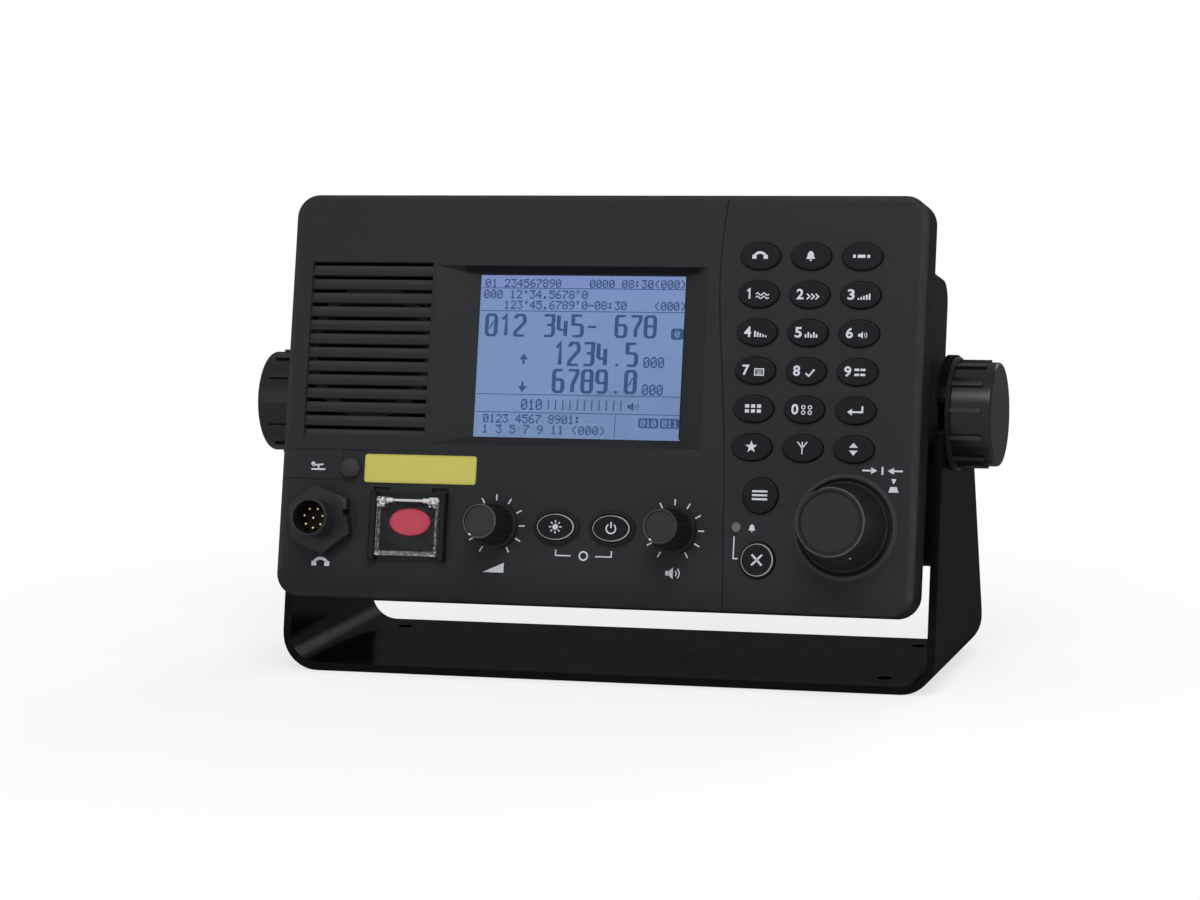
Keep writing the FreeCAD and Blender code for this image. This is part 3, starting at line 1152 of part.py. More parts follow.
def arm_outline():
    """Side view of the bracket: base depth, tapered arm and its rounded top about the pivot."""
    half = BRACKET_DEPTH / 2
    pivot_y = -PIVOT_AHEAD_OF_BASE_CENTRE
    front = V(0, -half, ARM_STRAIGHT)
    rear = V(0, half, ARM_STRAIGHT)
    centre = V(0, pivot_y, PIVOT_HEIGHT)
    rear_centre = centre + V(0, 0, ARM_TOP_R - ARM_TOP_REAR_R)
    front_touch = tangent_point(front, centre, ARM_TOP_R, 1)
    rear_touch = tangent_point(rear, rear_centre, ARM_TOP_REAR_R, -1)
    crest = centre + V(0, 0, ARM_TOP_R)
    front_middle = on_circle(centre, ARM_TOP_R, front_touch, crest)
    rear_middle = on_circle(rear_centre, ARM_TOP_REAR_R, rear_touch, crest)
    edges = [Part.makeLine(V(0, -half, 0), front), Part.makeLine(front, front_touch),
             Part.Arc(front_touch, front_middle, crest).toShape(),
             Part.Arc(crest, rear_middle, rear_touch).toShape(), Part.makeLine(rear_touch, rear),
             Part.makeLine(rear, V(0, half, 0)), Part.makeLine(V(0, half, 0), V(0, -half, 0))]
    return Part.Wire(edges)


def tangent_point(point, centre, radius, side):
    """Where the line from a point touches a circle in the YZ plane."""
    reach = centre - point
    distance = reach.Length
    turn = side * math.asin(radius / distance)
    length = math.sqrt(distance ** 2 - radius ** 2)
    direction = FreeCAD.Rotation(V(1, 0, 0), math.degrees(turn)).multVec(reach / distance)
    return point + direction * length


def on_circle(centre, radius, first, second):
    """Point on the circle half way between two of its points."""
    middle = (first - centre) + (second - centre)
    return centre + middle / middle.Length * radius


def arm_slots():
    """Open slot from the front edge of each arm to the pivot, with rounded lips."""
    width = 2 * (STUD_R + STUD_CLEARANCE)
    pivot_y = -PIVOT_AHEAD_OF_BASE_CENTRE
    reach = BRACKET_DEPTH
    over = ARM_OUTSIDE + OVERCUT
    bar = Part.makeBox(2 * over, reach, width, V(-over, pivot_y - reach, PIVOT_HEIGHT - width / 2))
    round_end = rod(width / 2, -over, over, pivot_y, PIVOT_HEIGHT)
    slot = fused([bar, round_end])
    slot.rotate(V(0, pivot_y, PIVOT_HEIGHT), V(1, 0, 0), -ARM_SLOT_RISE)
    return slot


def mounting_bracket():
    """Bent steel plate: base with four holes and two arms with open slots for the studs."""
    radius = BRACKET_BEND_R + BRACKET_THICKNESS
    tall = PIVOT_HEIGHT + ARM_TOP_R + OVERCUT
    half = BRACKET_DEPTH / 2 + OVERCUT

    def channel(side, low, corner_r):
        body = block(-side, side, -half, half, low, tall)
        foot = [edge for edge in body.Edges if abs(edge.BoundBox.ZMax - low) < 1e-4
                and abs(edge.tangentAt(edge.FirstParameter).y) > 0.9]
        return body.makeFillet(corner_r, foot)

    plate = channel(ARM_OUTSIDE, 0, radius).cut(channel(ARM_INSIDE, BRACKET_THICKNESS, BRACKET_BEND_R))
    outline = Part.Face(arm_outline())
    over = ARM_OUTSIDE + OVERCUT
    outline.translate(V(-over, 0, 0))
    plate = plate.common(outline.extrude(V(2 * over, 0, 0)))
    plate = plate.cut(arm_slots())
    lips = [edge for edge in plate.Edges if is_slot_lip(edge)]
    plate = plate.makeFillet(ARM_SLOT_CORNER_R, lips)
    holes = [Part.makeCylinder(BASE_HOLE_R, BRACKET_THICKNESS + 2 * OVERCUT, V(x, y, -OVERCUT))
             for x in (-BASE_HOLE_SPACING_X / 2, BASE_HOLE_SPACING_X / 2)
             for y in (-BASE_HOLE_SPACING_Y / 2, BASE_HOLE_SPACING_Y / 2)]
    return plate.cut(holes)


def is_slot_lip(edge):
    """Edges across the plate where a slot opens at the arm's front edge."""
    box = edge.BoundBox
    across = abs(box.XLength - BRACKET_THICKNESS) < 1e-3 and box.YLength < 1e-3 and box.ZLength < 1e-3
    front = box.YMax < -PIVOT_AHEAD_OF_BASE_CENTRE - ARM_TOP_R / 2
    return across and front and abs(box.ZMin - PIVOT_HEIGHT) < ARM_TOP_R / 2


KEYPAD_NAMES = ["phone_key", "calling_key", "morse_key",
                "number_key_1", "number_key_2", "number_key_3",
                "number_key_4", "number_key_5", "number_key_6",
                "number_key_7", "number_key_8", "number_key_9",
                "function_key", "number_key_0", "enter_key",
                "user_key", "tuner_key", "channel_key"]


def main():
    os.makedirs("parts", exist_ok=True)
    save("mounting_bracket", mounting_bracket())

    panel_nodes = {
        "front_casing": front_casing(),
        "rear_housing": rear_housing(),
        "casing_gasket": gasket_ring(CASING_DEPTH, CASING_DEPTH + GASKET_THICKNESS),
        "casing_screws": [casing_screw(x, z) for x, z in screw_places()],
        "pivot_inserts": [side_ring(side, RIGHT - INSERT_LENGTH, RIGHT, INSERT_R, STUD_R + THREAD_CLEARANCE)
                          for side in (-1, 1)],
        "friction_pads": [side_ring(side, RIGHT, ARM_INSIDE, PIVOT_BOSS_R, PAD_HOLE_R) for side in (-1, 1)],
        "clamp_washers": [side_ring(side, ARM_OUTSIDE, KNOB_INNER_FACE, WASHER_R, STUD_R + STUD_CLEARANCE)
                          for side in (-1, 1)],
        "display_window": display_window(),
        "display_panel": display_panel(),
        "speaker_frame": speaker_frame(),
        "speaker_cone": speaker_cone(),
        "keypad_mat": keypad_mat(),
        "control_board": control_board(),
        "main_board": main_board(),
        "handset_socket": handset_socket(),
        "handset_nut": handset_nut(),
        "handset_insert": handset_insert(),
        "handset_pins": handset_pins(),
        "key_jack_plug": key_jack_plug(),
        "notice_plate": plate_slab(SEAT_DEPTH - PLATE_THICKNESS, SEAT_DEPTH),
        "distress_frame": distress_frame(),
        "cover_hinge_pin": cover_hinge_pin(),
        "cover_springs": [cover_spring(side) for side in (-1, 1)],
        "distress_cover": distress_cover(),
        "distress_button": distress_button(),
        "potentiometers": [potentiometer(x) for x in (GAIN_X, VOLUME_X)],
        "gain_knob": small_knob(GAIN_X),
        "volume_knob": small_knob(VOLUME_X),
        "encoder_body": encoder_body(),
        "encoder_shaft": encoder_shaft(),
        "encoder_knob": encoder_knob(),
        "alarm_lamp": alarm_lamp(),
        "rear_sockets": [rear_socket(side * REAR_SOCKET_X) for side in (-1, 1)],
        "dimmer_key": pushed_key(LOWER_KEY_WIDTH, LOWER_KEY_HEIGHT, DIMMER_X, LOWER_KEY_Z, LOWER_KEY_PROUD),
        "power_key": pushed_key(LOWER_KEY_WIDTH, LOWER_KEY_HEIGHT, POWER_X, LOWER_KEY_Z, LOWER_KEY_PROUD),
        "menu_key": round_key(MENU_KEY_Z),
        "cancel_key": round_key(CANCEL_KEY_Z),
        "clamp_stud_left": clamp_stud(-1),
        "clamp_stud_right": clamp_stud(1),
        "clamp_knob_left": clamp_knob(-1),
        "clamp_knob_right": clamp_knob(1),
    }
    for name, (x, z) in zip(KEYPAD_NAMES, key_places()):
        panel_nodes[name] = pushed_key(KEY_WIDTH, KEY_HEIGHT, x, z, KEY_PROUD)
    for name, shape in panel_nodes.items():
        solids = shape if isinstance(shape, list) else [shape]
        placed = [in_world(solid) for solid in solids]
        save(name, placed if len(placed) > 1 else placed[0])


main()
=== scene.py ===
import math

import bpy
import numpy as np
from mathutils import Matrix


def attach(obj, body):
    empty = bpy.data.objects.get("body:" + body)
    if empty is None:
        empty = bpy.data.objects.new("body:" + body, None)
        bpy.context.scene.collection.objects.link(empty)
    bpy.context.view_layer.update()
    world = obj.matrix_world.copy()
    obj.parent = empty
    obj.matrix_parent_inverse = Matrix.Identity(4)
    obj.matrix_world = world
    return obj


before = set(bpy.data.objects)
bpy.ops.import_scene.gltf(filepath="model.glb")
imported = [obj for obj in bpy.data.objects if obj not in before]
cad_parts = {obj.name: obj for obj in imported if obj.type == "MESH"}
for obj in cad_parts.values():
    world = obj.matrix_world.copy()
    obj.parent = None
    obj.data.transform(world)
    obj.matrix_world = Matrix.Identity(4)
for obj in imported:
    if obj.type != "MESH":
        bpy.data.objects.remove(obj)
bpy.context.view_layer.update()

# Looks of a marine radio's control head on its tilting bracket. Lengths on the
# panel are in millimetres: h to the right of the panel's middle, v up the face
# from the tilt pivot, d into the panel from its front face. A rectangle is its
# left, right, low and high sides.

MM = 0.001
TILT = math.radians(14)
PIVOT = np.array([0, -3.6, 96.3])
FACE_TO_PIVOT = 41.8
INWARD = np.array([0, math.cos(TILT), -math.sin(TILT)])
UPWARD = np.array([0, math.sin(TILT), math.cos(TILT)])
FACE_MIDDLE = PIVOT - FACE_TO_PIVOT * INWARD

PRINT_THICKNESS = 0.04
DISPLAY_INK = 6.49
DISPLAY_OVERPRINT = 6.44
FIRST_KEY = (59.7, 50.9)
KEY_PITCH = (18.63, 13.77)
KEY_TOP = -1.3
OVAL_KEY_TOP = -2.1
OVAL_RIM = (6.8, 4.55)
ROUND_RIM = (5.7, 5.7)
KEY_ROWS = (("phone_key", "calling_key", "morse_key"),
            ("number_key_1", "number_key_2", "number_key_3"),
            ("number_key_4", "number_key_5", "number_key_6"),
            ("number_key_7", "number_key_8", "number_key_9"),
            ("function_key", "number_key_0", "enter_key"),
            ("user_key", "tuner_key", "channel_key"))
DIMMER = (-11.7, -48.6)
POWER = (9.3, -48.6)
MENU = (63.6, -35.15)
CANCEL = (63.6, -58.25)
GAIN = (-35.2, -48.5)
VOLUME = (32.2, -48.5)
TUNING = (94.8, -45.7)
LAMP = (55.25, -46.7)
SOCKET = (-102.4, -48.5)
SOCKET_WALL_R = 7.0
SOCKET_BORE_R = 6.1
GUARD = (-68.5, -50.05)
COVER = (-68.5, -50.1)
COVER_HALF = (11.8, 10.75)
RED_KEY = (-68.5, -48.25)
RED_KEY_HALF = (8.0, 5.15)
NOTICE = (-65.3, -28.85)
NOTICE_HALF = (21.7, 5.25)
CLAMP_END = 139.7
CLAMP_CREST_RADII = (18.9, 19.7)
CASING_HALF = (118.0, 73.2)
CASING_MIDDLE = -1.75
COLLAR_R = 18.4
LINTEL = (-52.5, 36.5, 44.6, 50.5)
LOUVRES = (-112.5, -64.0, -17.5, 50.0)
DISPLAY_SIDES = (-47.3, 31.3)
TICK_RADII = (9.0, 11.25)
MOTTLING = 0.12
BROAD_GRAIN = 24
FINE_GRAIN = 2600
SOFT_EDGE = 0.15


def on_panel(h, v, d):
    """World places in metres: face middle + h along X + v up the face + d into it."""
    h, v, d = (np.asarray(value, float)[..., None] for value in np.broadcast_arrays(h, v, d))
    return (FACE_MIDDLE + h * np.array([1.0, 0, 0]) + v * UPWARD + d * INWARD) * MM


# Materials

class Field:
    """A number that changes over a surface. Its operators add Math nodes."""

    def __init__(self, finish, socket):
        self.finish, self.socket = finish, socket

    def __add__(self, other):
        return self.finish.math("ADD", self, other)

    def __sub__(self, other):
        return self.finish.math("SUBTRACT", self, other)

    def __rsub__(self, other):
        return self.finish.math("SUBTRACT", other, self)

    def __mul__(self, other):
        return self.finish.math("MULTIPLY", self, other)

    def __truediv__(self, other):
        return self.finish.math("DIVIDE", self, other)

    def __pow__(self, other):
        return self.finish.math("POWER", self, other)

    __radd__ = __add__
    __rmul__ = __mul__

    def size(self):
        return self.finish.math("ABSOLUTE", self)

    def root(self):
        return self.finish.math("SQRT", self)

    def wave(self, length):
        """A smooth wave from 0 to 1 that repeats every length."""
        return self.finish.math("SINE", self * (math.tau / length)) * 0.5 + 0.5

    def most(self, other):
        return self.finish.math("MAXIMUM", self, other)

    def step(self, low, high):
        """0 below low and 1 above high, with a smooth ramp between."""
        node = self.finish.node("ShaderNodeMapRange", {"interpolation_type": "SMOOTHSTEP"},
                                {"Value": self, "From Min": low, "From Max": high})
        return Field(self.finish, node.outputs["Result"])


class Finish:
    """One material: its shader with constant sockets, and the nodes that feed it."""

    def __init__(self, name, **constants):
        self.material = bpy.data.materials.new(name)
        self.material.use_nodes = True
        self.tree = self.material.node_tree
        self.shader = self.tree.nodes["Principled BSDF"]
        for socket, value in constants.items():
            self.shader.inputs[socket.replace("_", " ")].default_value = value
        self.object_place = self.node("ShaderNodeTexCoord").outputs["Object"]

    def node(self, kind, settings=None, values=None):
        """Adds a node: settings first, then the value or link of each named socket."""
        node = self.tree.nodes.new(kind)
        for name, value in (settings or {}).items():
            setattr(node, name, value)
        for name, value in (values or {}).items():
            self.join(value, node.inputs[name])
        return node

    def join(self, value, socket):
        if isinstance(value, Field):
            value = value.socket
        if isinstance(value, bpy.types.NodeSocket):
            self.tree.links.new(value, socket)
        else:
            socket.default_value = value

    def math(self, operation, *operands):
        node = self.node("ShaderNodeMath", {"operation": operation}, dict(enumerate(operands)))
        return Field(self, node.outputs[0])

    def feed(self, **sockets):
        for name, value in sockets.items():
            self.join(value, self.shader.inputs[name.replace("_", " ")])

    def noise(self, scale, detail=2.0, stretch=(1, 1, 1)):
        """Noise from 0 to 1 with about `scale` cells to the metre."""
        place = self.node("ShaderNodeVectorMath", {"operation": "MULTIPLY"},
                          {0: self.object_place, 1: stretch})
        node = self.node("ShaderNodeTexNoise", None,
                         {"Vector": place.outputs[0], "Scale": scale, "Detail": detail})
        return Field(self, node.outputs["Fac"])

    def along(self, direction, origin=(0, 0, 0)):
        """Distance in millimetres from origin, which is in millimetres, along a unit direction."""
        node = self.node("ShaderNodeVectorMath", {"operation": "DOT_PRODUCT"},
                         {0: self.object_place, 1: tuple(direction)})
        return Field(self, node.outputs["Value"]) * 1000.0 - float(np.dot(direction, origin))

    def panel(self):
        """The panel distances h, v and d of a place."""
        return (self.along((1, 0, 0)), self.along(UPWARD, FACE_MIDDLE), self.along(INWARD, FACE_MIDDLE))

    def radius(self, centre):
        """Distance from an axis square to the panel."""
        h, v, _ = self.panel()
        return ((h - centre[0]) ** 2.0 + (v - centre[1]) ** 2.0).root()

    def mix(self, share, low, high):
        """Colour that goes from low to high as share goes from 0 to 1."""
        node = self.node("ShaderNodeMix", {"data_type": "RGBA"}, {0: share, 6: low, 7: high})
        return node.outputs[2]

    def gloss(self, weight):
        """A clear coat that fades out where the surface is seen edge on."""
        facing = self.node("ShaderNodeLayerWeight", None, {"Blend": 0.5}).outputs["Facing"]
        self.feed(Coat_Weight=(1.0 - Field(self, facing)) * weight)

    def inside(self, left, right, low, high):
        """1 inside an upright rectangle on the panel and 0 outside it."""
        h, v, _ = self.panel()
        across = (h - (left + right) / 2).size() - (right - left) / 2
        along = (v - (low + high) / 2).size() - (high - low) / 2
        return 1.0 - across.most(along).step(-SOFT_EDGE, SOFT_EDGE)

    def bump(self, height, distance):
        """Raises the surface by distance, in millimetres, where height is 1."""
        node = self.node("ShaderNodeBump", None,
                         {"Height": height, "Distance": distance * MM, "Strength": 1.0})
        self.feed(Normal=node.outputs["Normal"])


def linear(*srgb):
    """Linear RGBA of an sRGB colour given from 0 to 255."""
    share = np.array(srgb) / 255
    value = np.where(share <= 0.04045, share / 12.92, ((share + 0.055) / 1.055) ** 2.4)
    return (*map(float, value), 1.0)


def shaded(colour, factor):
    return (*(channel * factor for channel in colour[:3]), 1.0)


def mottled(finish, colour, broad, fine):
    """The colour in slightly darker and paler patches."""
    return finish.mix(broad * 0.6 + fine * 0.4, shaded(colour, 1 - MOTTLING), shaded(colour, 1 + MOTTLING))


def moulded(name, colour, rough, grain=FINE_GRAIN, relief=0.012, shine=0.25):
    """Textured plastic: fine spark-eroded grain, faint mottling and a few rubbed, smoother places."""
    finish = Finish(name, Specular_IOR_Level=0.0, Coat_IOR=1.35, Coat_Roughness=rough * 0.7)
    finish.gloss(shine)
    broad, fine = finish.noise(BROAD_GRAIN, 4), finish.noise(grain)
    finish.feed(Base_Color=mottled(finish, colour, broad, fine),
                Roughness=broad.step(0.3, 0.7) * -0.06 + fine * 0.08 + (rough - 0.01))
    finish.bump(fine, relief)
    return finish


def casing_finish():
    """Matt casing: fine grain and mottling, a painted highlight on the rim and the knob collar, painted shade
    in the recesses, on the sides and towards the lower left, and painted light in the louvre slots.
    """
    colour = linear(40, 41, 43)
    finish = moulded("charcoal_casing", colour, 0.6)
    h, v, d = finish.panel()
    across, along = h.size() - CASING_HALF[0], (v - CASING_MIDDLE).size() - CASING_HALF[1]
    # Painted highlight: the front rim and the raised collar round the tuning knob are painted paler, in
    # patches.
    rim = across.most(along).step(-1.2, 1.6) * (1.0 - d.step(0.5, 4.0))
    highlight_patches = finish.noise(160, 5).step(0.45, 0.7)
    plain = mottled(finish, colour, finish.noise(BROAD_GRAIN, 4), finish.noise(FINE_GRAIN))
    collar = 1.0 - (finish.radius(TUNING) - COLLAR_R).size().step(0.3, 0.9)
    with_painted_highlight = finish.mix((rim * (0.35 + highlight_patches * 0.4)).most(collar * 0.8), plain, linear(62, 63, 65))
    # Painted shade: the guard's tray, the strip over the display, the sides and the lower part towards the
    # left are painted darker.
    left, middle = GUARD
    tray = finish.inside(left - 12.6, left + 12.6, middle - 12.0, middle + 11.0) * d.step(0.8, 1.2)
    lintel = finish.inside(*LINTEL) * d.step(0.1, 0.5)
    # Painted light: the louvre slots are painted paler, standing in for light that reaches into them.
    louvre_painted_light = finish.inside(*LOUVRES) * d.step(0.5, 2.2)
    foot = 1.0 - (v + (h + 115.0).most(0.0) * 0.03).step(-75.0, -58.0)
    sides = (across - 0.6).most(along - 0.7).step(0.0, 1.0) * d.step(1.5, 5.0)
    shade = tray.most(lintel * 0.7).most(sides * 0.55).most(foot * 0.5)
    with_painted_shade = finish.mix(shade, with_painted_highlight, linear(15, 16, 18))
    finish.feed(Base_Color=finish.mix(louvre_painted_light * 0.8, with_painted_shade, linear(66, 68, 70)))
    return finish


def painted_bracket():
    """Black stoved paint on sheet steel: a glossy coat over a soft ripple, faint dust and a dulled foot."""
    colour = linear(9, 10, 11)
    finish = Finish("black_gloss_paint", Specular_IOR_Level=0.0, Coat_IOR=1.3, Coat_Roughness=0.2)
    dust, ripple = finish.noise(60, 6), finish.noise(700, 2)
    low = 1.0 - finish.along((0, 0, 1)).step(1.0, 9.0)
    finish.gloss(0.22 - dust.step(0.4, 0.8) * 0.05)
    finish.feed(Base_Color=finish.mix(dust.step(0.42, 0.8) * (0.2 + low * 0.3), colour, linear(20, 20, 21)),
                Roughness=0.3 + dust * 0.2)
    finish.bump(ripple, 0.01)
    return finish


def painted_housing():
    """Semi-matt paint over a cast box: orange-peel ripple and a dull mottling."""
    return moulded("dark_housing", linear(31, 32, 32), 0.5, grain=1500.0, relief=0.02)


def brushed(name, colour, rough, stretch):
    """Turned or drawn metal: fine streaks along one direction, in tone and in roughness."""
    finish = Finish(name, Metallic=1.0)
    streaks, tone = finish.noise(900, 3, stretch), finish.noise(90, 4)
    finish.feed(Base_Color=finish.mix(streaks * 0.5 + tone * 0.5, shaded(colour, 0.72), shaded(colour, 1.1)),
                Roughness=rough - 0.08 + streaks * 0.16)
    finish.bump(streaks, 0.006)
    return finish


def rubber(name, colour, rough=0.85):
    """Matt rubber: powdery bloom in patches over a fine grain."""
    finish = Finish(name, Specular_IOR_Level=0.06)
    bloom, fine = finish.noise(140, 5), finish.noise(3000)
    finish.feed(Base_Color=finish.mix(bloom.step(0.35, 0.8), colour, shaded(colour, 1.5)),
                Roughness=rough - 0.06 + fine * 0.1)
    finish.bump(fine, 0.01)
    return finish


def key_finish():
    """Silicone keys: soft matt black, a touch greyer where fingers polish the middle."""
    colour = linear(24, 25, 27)
    finish = Finish("key_rubber", Specular_IOR_Level=0.0, Coat_IOR=1.4, Coat_Roughness=0.4)
    finish.gloss(0.2)
    bloom, fine = finish.noise(180, 4), finish.noise(3200)
    finish.feed(Base_Color=finish.mix(bloom * 0.5 + fine * 0.5, shaded(colour, 0.82), shaded(colour, 1.18)),
                Roughness=0.42 + fine * 0.1 - bloom.step(0.45, 0.8) * 0.08)
    finish.bump(fine, 0.008)
    return finish


def knob_finish(name, centre, cap_radius, lip_radius, cap_depth, groove, cap_tone, spot):
    """Knob plastic: soft fluted side, paler matt cap with turned rings, a painted highlight round the lip and
    a white spot.
    """
    finish = Finish(name, Specular_IOR_Level=0.0, Coat_IOR=1.4, Coat_Roughness=0.3)
    finish.gloss(0.35)
    radius, (h, v, d) = finish.radius(centre), finish.panel()
    cap = 1.0 - radius.step(cap_radius - 0.15, cap_radius + 0.15)
    cap = cap * (1.0 - d.step(cap_depth + 1.2, cap_depth + 1.6))
    # Painted highlight: a pale ring painted at the cap's lip, in patches.
    lip = 1.0 - (radius - lip_radius).size().step(0.05, 0.35)
    lip = lip * (1.0 - d.step(cap_depth + 0.8, cap_depth + 1.2))
    fine, tone = finish.noise(2800), finish.noise(70, 4)
    side = finish.mix(tone * 0.6 + fine * 0.4, linear(27, 27, 27), linear(37, 37, 37))
    face = finish.mix(tone * 0.6 + fine * 0.4, shaded(cap_tone, 0.9), shaded(cap_tone, 1.1))
    capped = finish.mix(cap, side, face)
    with_lip_highlight = finish.mix(lip * (0.3 + tone.step(0.35, 0.6) * 0.5), capped, linear(92, 92, 90))
    from_spot = ((h - spot[0]) ** 2.0 + (v - spot[1]) ** 2.0 + (d - spot[2]) ** 2.0).root()
    finish.feed(Base_Color=finish.mix(1.0 - from_spot.step(0.4, 0.55), with_lip_highlight, linear(205, 205, 200)),
                Roughness=0.4 + cap * 0.12 + fine * 0.08)
    finish.bump(radius.wave(groove) * cap * 0.5 + fine * 0.5, 0.012)
    return finish


def clamp_finish():
    """Glossy black moulded clamp knob: painted highlights on the rib crests, stronger on the right-hand knob,
    painted shade on the end face, and a fine flow ripple.
    """
    finish = Finish("clamp_plastic", Specular_IOR_Level=0.0, Coat_IOR=1.45, Coat_Roughness=0.2)
    finish.gloss(0.6)
    y, z = finish.along((0, 1, 0), PIVOT), finish.along((0, 0, 1), PIVOT)
    radius = (y ** 2.0 + z ** 2.0).root()
    fine, tone = finish.noise(1900), finish.noise(55, 5)
    # Painted highlight: the rib crests are painted grey, more so on the right-hand knob.
    crest = radius.step(*CLAMP_CREST_RADII)
    x = finish.along((1, 0, 0))
    # Painted shade: the end face is painted darker.
    end = x.size().step(CLAMP_END - 0.5, CLAMP_END + 0.5)
    right_lit_share = 0.35 + x.step(-100.0, 100.0) * 0.8
    colour = finish.mix(tone, linear(14, 14, 15), linear(22, 22, 22))
    with_crest_highlight = finish.mix(crest * (0.25 + tone * 0.3) * right_lit_share, colour, linear(58, 58, 58))
    finish.feed(Base_Color=finish.mix(end, with_crest_highlight, linear(12, 12, 13)),
                Roughness=0.35 + fine * 0.1 + crest * 0.12)
    finish.bump(fine * 0.6 + tone * 0.4, 0.012)
    return finish


def clear_window():
    """Clear hard-coated window, with the faintest haze and wipe marks."""
    finish = Finish("clear_window", Transmission_Weight=1.0, IOR=1.15)
    wipes = finish.noise(40, 5, (1, 6, 6))
    finish.feed(Base_Color=finish.mix(wipes, (0.96, 0.97, 0.98, 1), (1, 1, 1, 1)),
                Roughness=0.01 + wipes.step(0.5, 0.8) * 0.02)
    return finish


def clear_cover():
    """Clear moulded flap: nearly invisible in its middle, with painted highlights at its edges, corners, foot
    and hinge.
    """
    finish = Finish("clear_cover", Specular_IOR_Level=0.3, Roughness=0.15)
    h, v, _ = finish.panel()
    across, along = (h - COVER[0]).size(), (v - COVER[1]).size()
    # Painted highlights: the edges, corners, foot and hinge ends are painted whitish, where clear plastic
    # catches light.
    edge = (across - COVER_HALF[0]).most(along - COVER_HALF[1]).step(-0.75, -0.3)
    foot = (1.0 - v.step(-59.6, -59.1)) * 0.22
    corner = (across + along).step(19.9, 20.6) * edge.most(0.6)
    hinge = v.step(-43.2, -42.6) * across.step(8.2, 8.5)
    bright, streaks = finish.noise(900, 3).step(0.42, 0.62), finish.noise(260, 4, (1, 9, 9))
    painted_glints = corner.most(hinge) * (0.15 + bright * 0.75)
    film = 0.015 + streaks.step(0.55, 0.8) * 0.02
    finish.feed(Base_Color=finish.mix(bright, linear(120, 122, 124), linear(225, 226, 228)),
                Alpha=film.most(edge * (0.16 + streaks * 0.35)).most(foot).most(painted_glints))
    finish.bump(streaks, 0.004)
    return finish


def display_finish():
    """Lit liquid-crystal glass: pale blue, violet at its top and darker low on the right, with fine rows."""
    finish = Finish("display_glow", Specular_IOR_Level=0.1, Roughness=0.35, Emission_Strength=1.0)
    h, v, _ = finish.panel()
    top = v.step(28.0, 46.0)
    corner = (h * 0.45 - v).step(6.0, 36.0)
    glow = finish.mix(top, linear(117, 143, 184), linear(121, 139, 189))
    glow = finish.mix(corner * 0.35, glow, linear(90, 112, 157))
    glow = finish.mix(v.wave(0.5) * 0.08 + finish.noise(90, 3) * 0.10, glow, linear(84, 106, 152))
    finish.feed(Emission_Color=glow,
                Base_Color=finish.mix(top, (0.01, 0.015, 0.025, 1), (0.015, 0.015, 0.03, 1)))
    return finish


def ink(name, colour):
    """Screen-printed ink: slightly uneven cover and a dry, finely pitted surface."""
    finish = Finish(name, Specular_IOR_Level=0.1)
    cover, pits = finish.noise(700, 4), finish.noise(4200)
    finish.feed(Base_Color=finish.mix(cover.step(0.3, 0.75), shaded(colour, 0.86), colour),
                Roughness=0.6 + pits * 0.12)
    finish.bump(pits, 0.004)
    return finish


def glass_ink(name, colour):
    """Figures of the display: they hold back its light, so they glow dimly, with a fine unevenness."""
    finish = Finish(name, Specular_IOR_Level=0.0, Emission_Strength=1.0, Roughness=0.5)
    cover = finish.noise(800, 3)
    finish.feed(Emission_Color=finish.mix(cover, shaded(colour, 0.85), shaded(colour, 1.1)),
                Base_Color=finish.mix(cover, (0.004, 0.006, 0.012, 1), (0.008, 0.01, 0.016, 1)))
    return finish


def yellow_notice():
    """Yellow notice plate: semi-matt enamel, a little grime towards its edges."""
    finish = Finish("yellow_plate", Specular_IOR_Level=0.1)
    h, v, _ = finish.panel()
    over = ((h - NOTICE[0]).size() - NOTICE_HALF[0]).most((v - NOTICE[1]).size() - NOTICE_HALF[1])
    edge = over.step(-0.9, 0.0)
    grime, fine = finish.noise(260, 5), finish.noise(2600)
    colour = finish.mix(grime * 0.6 + fine * 0.4, linear(180, 175, 88), linear(194, 189, 100))
    finish.feed(Base_Color=finish.mix(edge * (0.25 + grime * 0.5), colour, linear(142, 136, 62)),
                Roughness=0.42 + grime * 0.14)
    finish.bump(fine, 0.006)
    return finish


def red_key():
    """Red silicone button, softly mottled, a little deeper at its rim."""
    finish = Finish("red_key", Specular_IOR_Level=0.05)
    h, v, _ = finish.panel()
    across, along = (h - RED_KEY[0]) / RED_KEY_HALF[0], (v - RED_KEY[1]) / RED_KEY_HALF[1]
    rim = (across ** 2.0 + along ** 2.0).root().step(0.85, 1.0)
    tone, fine = finish.noise(120, 4), finish.noise(2800)
    colour = finish.mix(tone, linear(172, 56, 74), linear(188, 70, 88))
    finish.feed(Base_Color=finish.mix(rim * 0.6, colour, linear(142, 36, 56)), Roughness=0.45 + fine * 0.12)
    finish.bump(fine, 0.006)
    return finish


def lamp_lens():
    """Unlit smoke-grey lamp lens with a frosted, ringed surface."""
    finish = Finish("lamp_lens", Specular_IOR_Level=0.3)
    radius = finish.radius(LAMP)
    tone = finish.noise(500, 3)
    colour = finish.mix(tone, linear(78, 78, 80), linear(98, 98, 100))
    finish.feed(Base_Color=finish.mix(radius.step(1.3, 1.9), colour, linear(52, 52, 54)),
                Roughness=0.3 + tone * 0.2)
    finish.bump(radius.wave(0.45), 0.02)
    return finish


